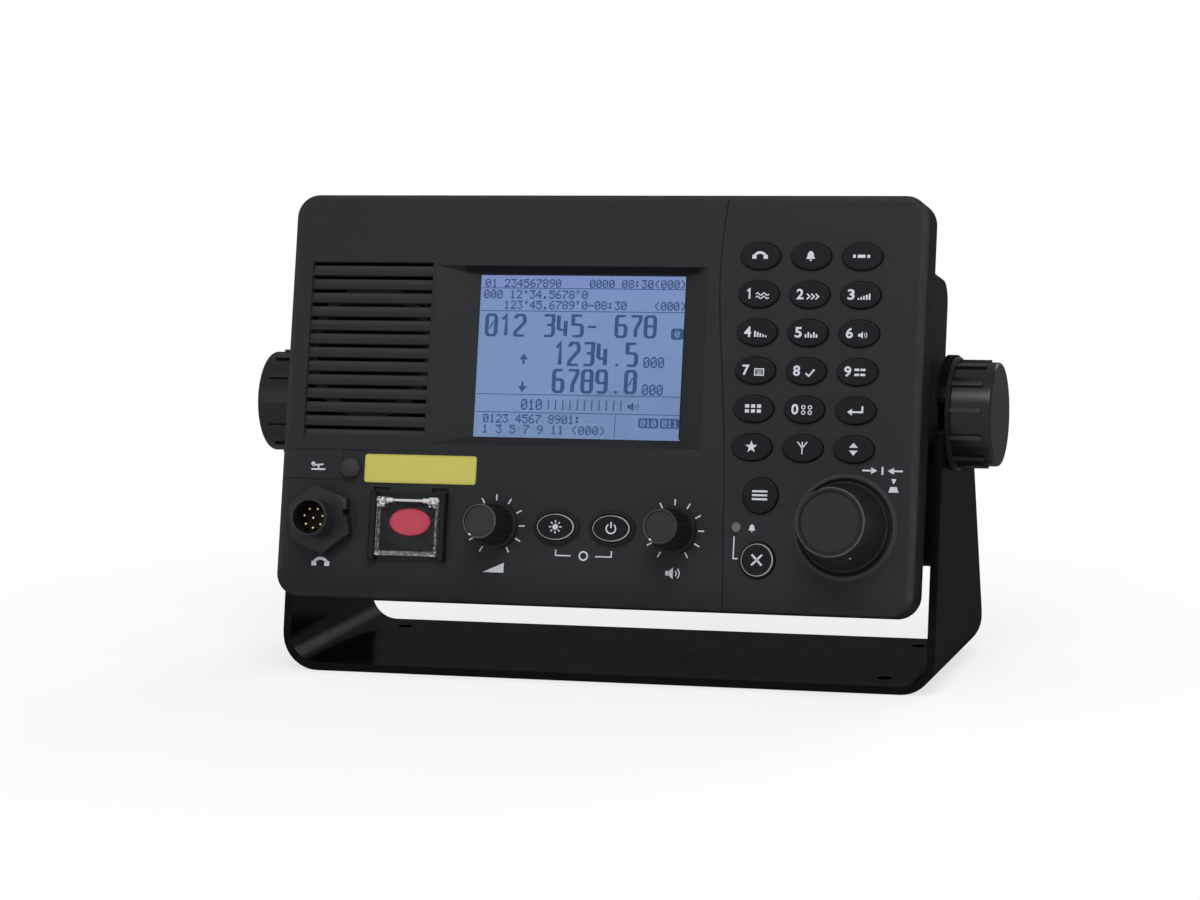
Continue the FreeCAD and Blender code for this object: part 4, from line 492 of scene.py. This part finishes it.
def threaded(name, colour, pitch, centre):
    """Dark anodised metal: a fine thread with brighter crests round the barrel, and painted shade making the
    bore nearly black.
    """
    finish = Finish(name, Specular_IOR_Level=0.0, Metallic=0.2, Coat_IOR=1.4, Coat_Roughness=0.3)
    finish.gloss(0.3)
    _, _, d = finish.panel()
    turns = d.wave(pitch)
    wall = 1.0 - (finish.radius(centre) - SOCKET_WALL_R).size().step(0.05, 0.2)
    tone, fine = finish.noise(150, 4), finish.noise(2400)
    metal = finish.mix(tone * 0.6 + turns * wall * 0.4, shaded(colour, 0.8), shaded(colour, 1.6))
    # Painted shade: the bore is painted nearly black, where shade falls inside it.
    bore = 1.0 - finish.radius(centre).step(SOCKET_BORE_R - 0.2, SOCKET_BORE_R + 0.2)
    finish.feed(Base_Color=finish.mix(bore, metal, shaded(colour, 0.25)), Roughness=0.36 + fine * 0.14)
    finish.bump(turns * wall + fine * 0.1, 0.12)
    return finish


def board():
    """Green solder mask over copper tracks laid in two directions."""
    finish = Finish("board_green", Specular_IOR_Level=0.4)
    h, v, _ = finish.panel()
    rows, columns = v.wave(3.0).step(0.75, 0.9), h.wave(3.7).step(0.8, 0.92)
    patches = finish.noise(60, 3).step(0.46, 0.54)
    tracks = (rows * patches).most(columns * (1.0 - patches))
    finish.feed(Base_Color=finish.mix(tracks, linear(12, 62, 34), linear(34, 104, 60)),
                Roughness=0.3 + finish.noise(900) * 0.15)
    finish.bump(tracks, 0.03)
    return finish


def speaker_paper():
    """Pressed paper cone, full of fibres."""
    finish = Finish("speaker_paper", Specular_IOR_Level=0.05)
    fibres, tone = finish.noise(1500, 6), finish.noise(120, 3)
    finish.feed(Base_Color=finish.mix(fibres, linear(14, 14, 13), linear(30, 29, 28)),
                Roughness=0.8 + tone * 0.1)
    finish.bump(fibres, 0.05)
    return finish


def slot_finishes():
    """The finish of each of the part's material slots."""
    return {
        "black_gloss_paint": painted_bracket(),
        "charcoal_casing": casing_finish(),
        "dark_housing": painted_housing(),
        "black_rubber": rubber("black_rubber", linear(23, 23, 24)),
        "stainless_steel": brushed("stainless_steel", (0.55, 0.55, 0.54, 1), 0.3, (1, 7, 7)),
        "insert_brass": brushed("insert_brass", (0.62, 0.46, 0.2, 1), 0.35, (6, 1, 1)),
        "black_washer": rubber("black_washer", linear(26, 26, 27), 0.6),
        "clear_window": clear_window(),
        "display_glow": display_finish(),
        "speaker_steel": moulded("speaker_steel", linear(34, 35, 36), 0.5),
        "speaker_paper": speaker_paper(),
        "mat_rubber": rubber("mat_rubber", linear(30, 30, 31)),
        "board_green": board(),
        "dark_socket": threaded("dark_socket", linear(40, 41, 43), 1.0, SOCKET),
        "socket_insert": moulded("socket_insert", linear(18, 17, 16), 0.45),
        "gold_contacts": brushed("gold_contacts", (0.85, 0.64, 0.28, 1), 0.35, (7, 1, 7)),
        "yellow_plate": yellow_notice(),
        "guard_black": moulded("guard_black", linear(28, 29, 29), 0.4, shine=0.3),
        "spring_steel": brushed("spring_steel", (0.62, 0.62, 0.6, 1), 0.28, (7, 1, 1)),
        "clear_cover": clear_cover(),
        "red_key": red_key(),
        "control_metal": brushed("control_metal", (0.5, 0.5, 0.48, 1), 0.35, (1, 6, 6)),
        "knob_black": knob_finish("tuning_knob_black", TUNING, 10.7, 12.05, -22.9, 0.7, linear(39, 39, 40),
                                  (100.9, -57.9, -16.0)),
        "lamp_lens": lamp_lens(),
        "clamp_plastic": clamp_finish(),
        "key_rubber": key_finish(),
    }


def dress_nodes(finishes):
    """Gives every CAD node the finish of its slot. The plug and the two small knobs have their own."""
    own = {"key_jack_plug": rubber("plug_rubber", linear(44, 46, 47), 0.55)}
    for name, (h, v) in (("gain_knob", GAIN), ("volume_knob", VOLUME)):
        own[name] = knob_finish(name + "_black", (h, v), 5.6, 5.95, -18.0, 0.5, linear(46, 46, 47),
                                (h - 3.44, v - 4.91, -18.6))
    for name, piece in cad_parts.items():
        for slot in piece.material_slots:
            finish = own.get(name) or finishes[slot.material.name.split(".")[0]]
            slot.material = finish.material


# Prints

class Sheet:
    """Flat art on the panel: outlines in millimetres of h and v, made one thin piece."""

    def __init__(self, centre=(0.0, 0.0)):
        self.centre = np.array(centre, float)
        self.points, self.faces = [], []

    def add(self, points, faces):
        """Adds points of h and v from the sheet's centre, and faces as rows of their numbers."""
        start = sum(len(part) for part in self.points)
        self.points.append(np.asarray(points, float) + self.centre)
        self.faces.extend([tuple(int(index) + start for index in face) for face in faces])

    def moved(self, step):
        self.points = [part + np.array(step) for part in self.points]
        return self

    def outline(self, points):
        self.add(points, [range(len(points))])

    def stroke(self, points, width, closed=False):
        """A band: each point is moved half the width there to both sides, square to its path."""
        path = np.asarray(points, float)
        if closed:
            ahead, behind = np.roll(path, -1, 0) - path, path - np.roll(path, 1, 0)
        else:
            steps = np.diff(path, axis=0)
            ahead, behind = np.vstack([steps, steps[-1:]]), np.vstack([steps[:1], steps])
        ahead /= np.linalg.norm(ahead, axis=1, keepdims=True)
        behind /= np.linalg.norm(behind, axis=1, keepdims=True)
        middle = ahead + behind
        middle /= np.linalg.norm(middle, axis=1, keepdims=True)
        square = np.stack([-middle[:, 1], middle[:, 0]], 1)
        reach = np.asarray(width).reshape(-1, 1) / 2 / np.maximum((middle * ahead).sum(1, keepdims=True), 0.5)
        count = len(path)
        index = np.arange(count if closed else count - 1)
        after = (index + 1) % count
        self.add(np.vstack([path + square * reach, path - square * reach]),
                 np.stack([index + count, after + count, after, index], 1))

    def ring(self, middle, size, width, start=0.0, end=360.0, steps=28):
        """Part of an ellipse of half-sizes `size`, from start to end in degrees, as a band."""
        closed = end - start >= 360
        angle = np.radians(np.linspace(start, end, steps + 1)[:steps if closed else None])
        around = np.stack([np.cos(angle), np.sin(angle)], 1)
        self.stroke(np.array(middle) + np.array(size) * around, width, closed)

    def dot(self, middle, radius, steps=20):
        angle = np.linspace(0, math.tau, steps, endpoint=False)
        self.outline(np.array(middle) + radius * np.stack([np.cos(angle), np.sin(angle)], 1))

    def bar(self, left, low, right, high):
        self.outline([(left, low), (right, low), (right, high), (left, high)])

    def figures(self, words, left, low, right, high, weight):
        """Figures of the built-in face, stretched to fill a box and made bolder by weight."""
        curve = bpy.data.curves.new("figures", "FONT")
        curve.body, curve.offset, curve.resolution_u = words, weight, 3
        letters = bpy.data.objects.new("figures", curve)
        mesh = bpy.data.meshes.new_from_object(letters)
        points = np.empty(len(mesh.vertices) * 3)
        mesh.vertices.foreach_get("co", points)
        points = points.reshape(-1, 3)[:, :2]
        share = (points - points.min(0)) / (points.max(0) - points.min(0))
        self.add((left, low) + share * (right - left, high - low), [face.vertices for face in mesh.polygons])
        bpy.data.objects.remove(letters)
        bpy.data.meshes.remove(mesh)
        bpy.data.curves.remove(curve)

    def piece(self, name, body, depth, finish):
        """Lays the art at a depth on the panel, its thickness proud of it, and lets it ride on a body."""
        points = np.vstack(self.points)
        mesh = bpy.data.meshes.new(name)
        mesh.from_pydata(on_panel(points[:, 0], points[:, 1], depth - PRINT_THICKNESS), [], self.faces)
        mesh.materials.append(finish.material)
        mesh.validate()
        piece = bpy.data.objects.new(name, mesh)
        bpy.context.scene.collection.objects.link(piece)
        wall = piece.modifiers.new("thickness", "SOLIDIFY")
        wall.thickness, wall.offset = PRINT_THICKNESS * MM, -1.0
        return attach(piece, body)


# Paths of each figure on a grid of 4 by 8, with cut corners; a path that ends where it begins is closed
LOOP = [(0.8, 0), (3.2, 0), (4, 0.9), (4, 7.1), (3.2, 8), (0.8, 8), (0, 7.1), (0, 0.9), (0.8, 0)]
NUMERALS = {"0": [LOOP, [(1.2, 2.6), (2.8, 5.4)]],
            "1": [[(0.7, 6.2), (2.2, 8), (2.2, 0)]],
            "2": [[(0, 6.6), (0, 7.1), (0.8, 8), (3.2, 8), (4, 7.1), (4, 5.2), (0, 1.3), (0, 0), (4, 0)]],
            "3": [[(0, 8), (4, 8), (4, 5.0), (3.4, 4.3), (1.2, 4.3)],
                  [(3.4, 4.3), (4, 3.5), (4, 0.9), (3.2, 0), (0, 0)]],
            "4": [[(3.1, 0), (3.1, 6.0)], [(0, 8), (0, 3.0), (0.8, 2.4), (4, 2.4)]],
            "5": [[(3.8, 8), (0, 8), (0, 4.5), (3.2, 4.5), (4, 3.7), (4, 0.9), (3.2, 0), (0, 0)]],
            "6": [[(3.8, 8), (0.8, 8), (0, 7.1), (0, 0.9), (0.8, 0), (3.2, 0), (4, 0.9), (4, 3.7),
                   (3.2, 4.5), (0, 4.5)]],
            "7": [[(0, 8), (4, 8), (4, 6.4), (2, 2.8), (2, 0)]],
            "8": [LOOP, [(0.2, 4.2), (3.8, 4.2)]],
            "9": [[(0.2, 0), (3.2, 0), (4, 0.9), (4, 7.1), (3.2, 8), (0.8, 8), (0, 7.1), (0, 4.3),
                   (0.8, 3.5), (4, 3.5)]],
            "-": [[(0.2, 3.7), (3.8, 3.7)]], ".": [[(1.4, 0.2), (2.6, 0.2)]], " ": []}


def numerals(sheet, words, left, low, width, height, pitch, weight):
    """Angular figures, each width by height, one every pitch. They are drawn narrow with a band of the
    given weight and then widened 1.6 times, so uprights come out heavier; a nought's slash is light."""
    widened = 1.6
    art = Sheet()
    for index, letter in enumerate(words):
        for turn, path in enumerate(NUMERALS[letter]):
            points = np.array(path) * (width / widened / 4, height / 8) + (index * pitch / widened, 0)
            closed = path[0] == path[-1]
            thin = 0.4 if letter == "0" and turn else 1.0
            art.stroke(points[:-1] if closed else points, weight * thin, closed)
    sheet.add(np.vstack(art.points) * (widened, 1) + (left, low), art.faces)


def arrow(sheet, tip, length, width, direction):
    """A solid triangle with its tip at a place, pointing along a unit direction."""
    direction = np.array(direction, float)
    side = np.array([-direction[1], direction[0]])
    base = np.array(tip) - direction * length
    sheet.outline([tip, base + side * width / 2, base - side * width / 2])


def handset_icon(sheet, middle, size):
    """A handset: an arched grip between two square caps."""
    x, y = middle
    sheet.ring((x, y - size * 0.9), (size, size * 1.15), size * 0.34, 40, 140, 14)
    for side in (-1, 1):
        centre = x + side * size * 0.8
        sheet.bar(centre - size * 0.3, y - size * 0.62, centre + size * 0.3, y - size * 0.08)


def bell_icon(sheet, middle, size):
    """A bell: its curved body, its rim and its clapper."""
    x, y = middle
    angle = np.radians(np.linspace(0, 180, 13))
    dome = np.stack([x + size * 0.55 * np.cos(angle), y + size * 0.1 + size * 0.75 * np.sin(angle)], 1)
    sheet.outline(np.vstack([dome, [(x - size * 0.75, y - size * 0.5), (x + size * 0.75, y - size * 0.5)]]))
    sheet.dot((x, y - size * 0.72), size * 0.17, 10)


def speaker_icon(sheet, middle, size):
    """A loudspeaker: a square, a flaring horn and two sound arcs."""
    x, y = middle
    sheet.bar(x - size, y - size * 0.3, x - size * 0.55, y + size * 0.3)
    sheet.outline([(x - size * 0.5, y - size * 0.3), (x, y - size * 0.75),
                   (x, y + size * 0.75), (x - size * 0.5, y + size * 0.3)])
    for radius in (0.45, 0.85):
        sheet.ring((x, y), (size * radius, size * radius), size * 0.15, -45, 45, 8)


def aerial_icon(sheet, middle, size):
    """An aerial: a mast and a V of two arms."""
    x, y = middle
    for side in (-1, 0, 1):
        sheet.stroke([(x, y), (x + side * size * 0.8, y + size)], size * 0.2)
    sheet.stroke([(x, y + 0.01), (x, y - size)], size * 0.2)


def key_icon(sheet, middle, size):
    """A straight key: a lever over its base, with a round knob."""
    x, y = middle
    sheet.bar(x - size, y - size * 0.6, x + size, y - size * 0.38)
    sheet.stroke([(x - size * 0.9, y), (x + size * 0.7, y + size * 0.18)], size * 0.2)
    sheet.dot((x - size * 0.75, y + size * 0.22), size * 0.28, 12)
    sheet.bar(x - 0.1 * size, y - size * 0.4, x + size * 0.12, y + size * 0.05)


def wedge_icon(sheet, middle, size):
    """A rising wedge, for less to more."""
    x, y = middle
    sheet.outline([(x - size, y - size * 0.45), (x + size, y - size * 0.45), (x + size, y + size * 0.45)])


def icon_art():
    """The plain icon of each key that carries no figure, drawn round the key's middle."""
    art = {name: Sheet() for name in ("phone_key", "calling_key", "morse_key", "function_key", "enter_key",
                                      "user_key", "tuner_key", "channel_key", "menu_key", "cancel_key",
                                      "dimmer_key", "power_key")}
    handset_icon(art["phone_key"], (0, 0.5), 2.6)
    bell_icon(art["calling_key"], (0, 0), 2.1)
    for left, right in ((-3.2, -2.2), (-1.5, 1.3), (2.0, 3.0)):
        art["morse_key"].bar(left, -0.55, right, 0.55)
    for x in (-2.2, 0, 2.2):
        for y in (-0.9, 0.9):
            art["function_key"].bar(x - 0.75, y - 0.6, x + 0.75, y + 0.6)
    art["enter_key"].stroke([(2.6, 1.5), (2.6, -0.6), (-1.2, -0.6)], 0.65)
    arrow(art["enter_key"], (-2.9, -0.6), 1.8, 2.4, (-1, 0))
    points = np.arange(10)
    angle, radius = np.radians(90 + 36 * points), np.where(points % 2, 0.95, 2.3)
    star = np.stack([radius * np.cos(angle), radius * np.sin(angle)], 1)
    art["user_key"].add(np.vstack([star, [(0, 0)]]), [(index, (index + 1) % 10, 10) for index in points])
    aerial_icon(art["tuner_key"], (0, 0), 2.2)
    arrow(art["channel_key"], (0, 2.3), 1.8, 3.2, (0, 1))
    arrow(art["channel_key"], (0, -2.3), 1.8, 3.2, (0, -1))
    for y in (-1.4, 0, 1.4):
        art["menu_key"].bar(-2.8, y - 0.35, 2.8, y + 0.35)
    for side in (-1, 1):
        art["cancel_key"].stroke([(-1.9, -1.9 * side), (1.9, 1.9 * side)], 0.7)
    sun = art["dimmer_key"]
    sun.dot((0, 0), 1.05)
    for turn in range(8):
        ray = np.array([math.cos(math.radians(45 * turn)), math.sin(math.radians(45 * turn))])
        sun.stroke([ray * 1.5, ray * 2.4], 0.45)
    art["power_key"].ring((0, -0.1), (1.75, 1.75), 0.5, 125, 415)
    art["power_key"].stroke([(0, 0.1), (0, 2.3)], 0.5)
    return art


def bar_row(heights):
    """A mark of five upright bars of the given heights."""
    def draw(sheet):
        for index, height in enumerate(heights):
            sheet.bar(-0.9 + index, -1.8, -0.3 + index, -1.8 + height)
    return draw


def wave_mark(sheet):
    """Two waves, each a sine of 0.4 mm over 4.8 mm."""
    run = np.linspace(0, 4.8, 33)
    for low in (-1.3, -0.1):
        sheet.stroke(np.stack([-0.9 + run, low + 0.4 * np.sin(run * 2.62)], 1), 0.42)


def chevron_mark(sheet):
    for left in (-0.8, 0.8, 2.4):
        sheet.stroke([(left, -1.8), (left + 1.1, -0.8), (left, 0.2)], 0.5)


def sound_mark(sheet):
    speaker_icon(sheet, (1.6, -0.7), 1.7)


def page_mark(sheet):
    sheet.stroke([(0.0, -1.75), (3.2, -1.75), (3.2, 0.5), (0.0, 0.5)], 0.4, closed=True)
    for y in (-1.05, -0.3):
        sheet.bar(0.7, y - 0.17, 2.5, y + 0.17)


def tick_mark(sheet):
    sheet.stroke([(0.0, -0.8), (1.2, -1.8), (3.2, 0.6)], 0.6)


def dash_mark(sheet):
    for y in (-1.1, 0.7):
        for left in (-0.9, 1.3):
            sheet.bar(left, y - 0.42, left + 1.8, y + 0.42)


def ring_mark(sheet):
    for x in (-0.2, 2.2):
        for y in (-1.1, 0.8):
            sheet.ring((x, y), (0.62, 0.62), 0.36, steps=18)


# The mark beside each figure, from 0 to 9
SMALL_MARKS = (ring_mark, wave_mark, chevron_mark, bar_row((0.6, 1.0, 1.4, 1.8, 2.2)),
               bar_row((2.2, 1.8, 1.4, 1.0, 0.6)), bar_row((1.2, 2.0, 1.2, 2.0, 1.2)),
               sound_mark, page_mark, tick_mark, dash_mark)


def key_prints(finish):
    """A figure with its small mark, or an icon, on each key."""
    art = icon_art()
    for row, names in enumerate(KEY_ROWS):
        for column, name in enumerate(names):
            centre = np.array(FIRST_KEY) + np.array([column, -row]) * KEY_PITCH
            if name.startswith("number"):
                number = int(name[-1])
                sheet = Sheet(centre)
                if number == 1:
                    sheet.stroke([(-4.1, 0.9), (-3.25, 1.7), (-3.25, -1.85)], 0.62)
                else:
                    sheet.figures(str(number), -4.6, -1.85, -2.0, 1.95, 0.025)
                SMALL_MARKS[number](sheet)
            else:
                sheet = art[name].moved(centre)
            sheet.piece(name + "_print", name, KEY_TOP, finish)
    for name, centre, depth in (("menu_key", MENU, KEY_TOP), ("cancel_key", CANCEL, KEY_TOP),
                                ("dimmer_key", DIMMER, OVAL_KEY_TOP), ("power_key", POWER, OVAL_KEY_TOP)):
        art[name].moved(centre).piece(name + "_print", name, depth, finish)


def scale_ticks(sheet, centre):
    """Short lines round a knob every 30 degrees, but not at its foot."""
    for turn in range(30, 331, 30):
        angle = math.radians(turn)
        out = np.array([-math.sin(angle), -math.cos(angle)])
        sheet.stroke([np.array(centre) + out * reach for reach in TICK_RADII], 0.5)


def panel_prints(finish):
    """Marks on the casing: knob scales, link lines and plain icons by the controls."""
    sheet = Sheet()
    scale_ticks(sheet, GAIN)
    scale_ticks(sheet, VOLUME)
    for side, inner in ((DIMMER[0], -6.0), (POWER[0], 3.3)):
        sheet.stroke([(side, -56.7), (side, -58.8), (inner, -58.8)], 0.45)
    sheet.ring((-1.2, -58.7), (1.5, 1.5), 0.55)
    sheet.stroke([(54.6, -50.0), (54.6, -57.9), (56.4, -57.9)], 0.45)
    bell_icon(sheet, (61.0, -46.9), 1.6)
    wedge_icon(sheet, (GAIN[0], -63.9), 4.0)
    speaker_icon(sheet, (32.6, -63.9), 2.8)
    handset_icon(sheet, (SOCKET[0], -63.4), 3.2)
    key_icon(sheet, (-105.3, -28.3), 2.8)
    for tip, way in ((105.6, 1), (109.4, -1)):
        arrow(sheet, (tip, -25.3), 2.2, 2.4, (way, 0))
        sheet.stroke([(tip - way * 2.0, -25.3), (tip - way * 5.4, -25.3)], 0.6)
    sheet.bar(107.15, -26.7, 107.85, -23.9)
    arrow(sheet, (111.7, -30.0), 1.9, 1.9, (0, -1))
    sheet.outline([(109.9, -32.9), (113.6, -32.9), (112.9, -30.9), (110.6, -30.9)])
    sheet.piece("panel_print", "radio", 0.0, finish)


# Columns of a plain five by seven dot face, lowest bit at the top
DOT_FACE = {"0": "3E5149453E", "1": "00427F4000", "2": "4261514946", "3": "2141454B31", "4": "1814127F10",
            "5": "2745454539", "6": "3C4A494930", "7": "0171090503", "8": "3649494936", "9": "064949291E",
            ":": "0036360000", ".": "0060600000", "-": "0808080808", "/": "2010080402", "(": "001C224100",
            ")": "0041221C00", "*": "0002050200", "'": "0005030000", " ": "0000000000"}


def dot_rows(sheet, words, left, top, pitch):
    """Dots of each figure, one slightly overlapping square for each set bit of its five columns."""
    columns = np.array([list(bytes.fromhex(DOT_FACE[letter] + "00")) for letter in words]).ravel()
    bits = (columns[:, None] >> np.arange(7)) & 1
    column, row = np.nonzero(bits)
    x, y = left + column * pitch[0], top - row * pitch[1]
    corners = np.array([(-0.1, -1.1), (1.1, -1.1), (1.1, 0.1), (-0.1, 0.1)]) * np.array(pitch)
    points = (np.stack([x, y], 1)[:, None] + corners).reshape(-1, 2)
    sheet.add(points, np.arange(len(points)).reshape(-1, 4))


# The display's small rows: figures, left end, top, and the dots' pitch across and down
SMALL_ROWS = (("01 234567890", -46.0, 42.8, 0.41, 0.43), ("0000 08:30(000)", -5.9, 42.8, 0.41, 0.43),
              ("000 12*34.5678'0", -46.4, 38.7, 0.42, 0.44),
              ("123*45.6789'0-08:30", -38.4, 34.8, 0.415, 0.44), ("(000)", 19.0, 34.8, 0.41, 0.44),
              ("000", 15.9, 14.6, 0.46, 0.55), ("000", 15.9, 4.6, 0.46, 0.55),
              ("010", -29.9, -1.5, 0.47, 0.56), ("0123 4567 8901:", -44.3, -7.2, 0.42, 0.45),
              ("1 3 5 7 9 11 (000)", -44.4, -11.1, 0.44, 0.44))


def display_art(dark, pale):
    """Figures, rules, level bars and badges in dark blue, with the badges' own figures in pale."""
    sheet = Sheet()
    for words, left, top, across, down in SMALL_ROWS:
        dot_rows(sheet, words, left, top, (across, down))
    numerals(sheet, "012 345- 678", -44.7, 21.9, 3.5, 7.6, 5.53, 0.9)
    numerals(sheet, "1234.5", -17.8, 11.4, 3.4, 8.0, 5.5, 0.95)
    numerals(sheet, "6789.0", -17.8, 1.4, 3.4, 8.0, 5.5, 0.95)
    for h, v, way in ((-29.8, 13.2, 1), (-29.8, 3.1, -1)):
        arrow(sheet, (h, v + way * 1.9), 2.0, 3.6, (0, way))
        sheet.bar(h - 0.45, v - 1.8, h + 0.45, v + 1.8)
    for index in range(11):
        sheet.bar(-19.65 + index * 2.77, -5.3, -19.2 + index * 2.77, -1.5)
    speaker_icon(sheet, (13.0, -3.6), 2.2)
    for v in (39.45, 31.0, 0.2, -6.4):
        sheet.bar(DISPLAY_SIDES[0], v - 0.14, DISPLAY_SIDES[1], v + 0.14)
    sheet.bar(6.1, -14.9, 6.4, -6.2)
    badges = ((25.8, 21.1, 4.7, 4.1), (15.1, -11.3, 7.5, 3.6), (23.3, -11.3, 7.3, 3.6))
    for left, low, width, height in badges:
        sheet.outline(rounded_corners(left, low, width, height, 0.9))
    sheet.piece("display_figures", "radio", DISPLAY_INK, dark)
    figures, pitch = Sheet(), 0.34
    for words, (left, low, width, height) in zip(("0", "010", "011"), badges):
        start = left + (width - len(words) * 6 * pitch + pitch) / 2
        dot_rows(figures, words, start, low + height * 0.5 + 3.5 * pitch, (pitch, pitch))
    figures.piece("badge_figures", "radio", DISPLAY_OVERPRINT, pale)


def display_mask(finish):
    """Painted shade: a black bar along the display's top and one down its right side, where the window's
    walls shade it.
    """
    sheet = Sheet()
    left, right, low, high = -47.6, 31.6, -15.2, 45.0
    inner_right, inner_high = 30.5, 44.2
    sheet.bar(left, inner_high, right, high)
    sheet.bar(inner_right, low, right, inner_high)
    sheet.piece("display_painted_shade", "radio", DISPLAY_OVERPRINT, finish)


def rounded_corners(left, low, width, height, radius):
    """The outline of a rectangle whose corners are quarter circles."""
    corners = ((left + width - radius, low + radius, 270), (left + width - radius, low + height - radius, 0),
               (left + radius, low + height - radius, 90), (left + radius, low + radius, 180))
    angle = np.radians(np.linspace(0, 90, 6))
    arcs = [np.stack([x + radius * np.cos(angle + math.radians(turn)),
                      y + radius * np.sin(angle + math.radians(turn))], 1) for x, y, turn in corners]
    return np.vstack(arcs)


def lit_rims(finish):
    """Pale printed lines round three caps, widened on the right as a painted highlight: at angle a from the
    right 0.24 + 0.26 cos a wide, and never under 0.2.
    """
    angle = np.linspace(0, math.tau, 72, endpoint=False)
    width = np.maximum(0.24 + 0.26 * np.cos(angle), 0.2)
    for name, centre, size, depth in (("dimmer_key", DIMMER, OVAL_RIM, OVAL_KEY_TOP),
                                      ("power_key", POWER, OVAL_RIM, OVAL_KEY_TOP),
                                      ("cancel_key", CANCEL, ROUND_RIM, KEY_TOP)):
        sheet = Sheet(centre)
        sheet.stroke(np.array(size) * np.stack([np.cos(angle), np.sin(angle)], 1), width, closed=True)
        sheet.piece(name + "_rim", name, depth, finish)


# Studio

def studio_light(name, place, target, size, power):
    light = bpy.data.lights.new(name, "AREA")
    light.shape, light.size, light.energy = "DISK", size, power
    lamp = bpy.data.objects.new(name, light)
    bpy.context.scene.collection.objects.link(lamp)
    lamp.location = place
    aim = Matrix.Translation(place).to_translation() - Matrix.Translation(target).to_translation()
    lamp.rotation_mode = "QUATERNION"
    lamp.rotation_quaternion = aim.to_track_quat("Z", "Y")


def seen_directly(add_node):
    """1 for what is seen directly, in a reflection or through glass, and 0 for light on the object."""
    path = add_node("ShaderNodeLightPath")
    seen = add_node("ShaderNodeMath", {"operation": "MAXIMUM"},
                    {0: path.outputs["Is Camera Ray"], 1: path.outputs["Is Glossy Ray"]})
    return add_node("ShaderNodeMath", {"operation": "MAXIMUM"},
                    {0: seen.outputs[0], 1: path.outputs["Is Transmission Ray"]}).outputs[0]


def pale_floor():
    """A wide pale floor just under the bracket, which turns to pure white away from the object."""
    reach, height = 12.0, -0.0001
    mesh = bpy.data.meshes.new("floor")
    corners = [(x * reach, y * reach, height) for x, y in ((-1, -1), (1, -1), (1, 1), (-1, 1))]
    mesh.from_pydata(corners, [], [(0, 1, 2, 3)])
    finish = Finish("floor_paper", Roughness=0.9, Specular_IOR_Level=0.0)
    finish.feed(Base_Color=finish.mix(finish.noise(30, 3), (0.9, 0.9, 0.9, 1), (0.93, 0.93, 0.93, 1)))
    x, y = finish.along((1, 0, 0)), finish.along((0, 1, 0))
    away = 0.7 + (x ** 2.0 + y ** 2.0).root().step(150.0, 450.0) * 0.3
    white = finish.node("ShaderNodeEmission", None, {"Color": (1, 1, 1, 1), "Strength": 1.0})
    share = away * Field(finish, seen_directly(finish.node))
    blend = finish.node("ShaderNodeMixShader", None,
                        {0: share, 1: finish.shader.outputs[0], 2: white.outputs[0]})
    finish.tree.links.new(blend.outputs[0], finish.tree.nodes["Material Output"].inputs["Surface"])
    mesh.materials.append(finish.material)
    floor = bpy.data.objects.new("floor", mesh)
    bpy.context.scene.collection.objects.link(floor)


def white_world():
    """A world that is white to look at and lights the object about half as strongly."""
    world = bpy.data.worlds.new("studio")
    bpy.context.scene.world = world
    world.use_nodes = True
    tree = world.node_tree

    def node(kind, settings=None, values=None):
        made = tree.nodes.new(kind)
        for name, value in (settings or {}).items():
            setattr(made, name, value)
        for name, value in (values or {}).items():
            tree.links.new(value, made.inputs[name])
        return made

    level = node("ShaderNodeMapRange", None, {"Value": seen_directly(node)})
    level.inputs["To Min"].default_value, level.inputs["To Max"].default_value = 0.52, 1.0
    background = tree.nodes["Background"]
    background.inputs["Color"].default_value = (1, 1, 1, 1)
    tree.links.new(level.outputs["Result"], background.inputs["Strength"])


def studio():
    bpy.context.scene.view_settings.view_transform = "Standard"
    white_world()
    target = (0.0, -0.02, 0.09)
    studio_light("key_light", (0.2, -0.7, 0.9), target, 0.6, 6.2)
    studio_light("fill_light", (-0.9, -1.4, 0.6), target, 0.9, 0.9)
    studio_light("back_light", (0.5, 1.4, 0.8), target, 0.9, 10.0)


def camera():
    """The camera that took the photograph: turned, raised and rolled about the pivot, 1.33 m away."""
    focal_pixels, width_pixels = 3574.338, 1200
    turn, rise, roll = (math.radians(value) for value in (17.09, 8.217, -1.197))
    away, across, up = 1333.719, -10.41, -15.71
    right = np.array([math.cos(turn), math.sin(turn), 0])
    ahead = np.array([-math.sin(turn) * math.cos(rise), math.cos(turn) * math.cos(rise), -math.sin(rise)])
    above = np.cross(right, ahead)
    place = (PIVOT + across * right + up * above - away * ahead) * MM
    axes = np.stack([math.cos(roll) * right + math.sin(roll) * above,
                     -math.sin(roll) * right + math.cos(roll) * above, -ahead], 1)
    data = bpy.data.cameras.new("camera")
    data.sensor_fit, data.sensor_width = "HORIZONTAL", 36
    data.lens = focal_pixels * data.sensor_width / width_pixels
    data.clip_start, data.clip_end = 0.05, 60
    view = bpy.data.objects.new("camera", data)
    bpy.context.scene.collection.objects.link(view)
    matrix = np.eye(4)
    matrix[:3, :3], matrix[:3, 3] = axes, place
    view.matrix_world = Matrix(matrix.tolist())
    bpy.context.scene.camera = view


camera()
dress_nodes(slot_finishes())
white_ink = ink("white_print", linear(200, 203, 212))
key_prints(white_ink)
panel_prints(white_ink)
lit_rims(ink("pale_rim", linear(158, 158, 150)))
display_art(glass_ink("display_dark", linear(54, 80, 121)), glass_ink("display_pale", linear(118, 143, 184)))
display_mask(ink("display_black", linear(24, 25, 28)))
pale_floor()
studio()
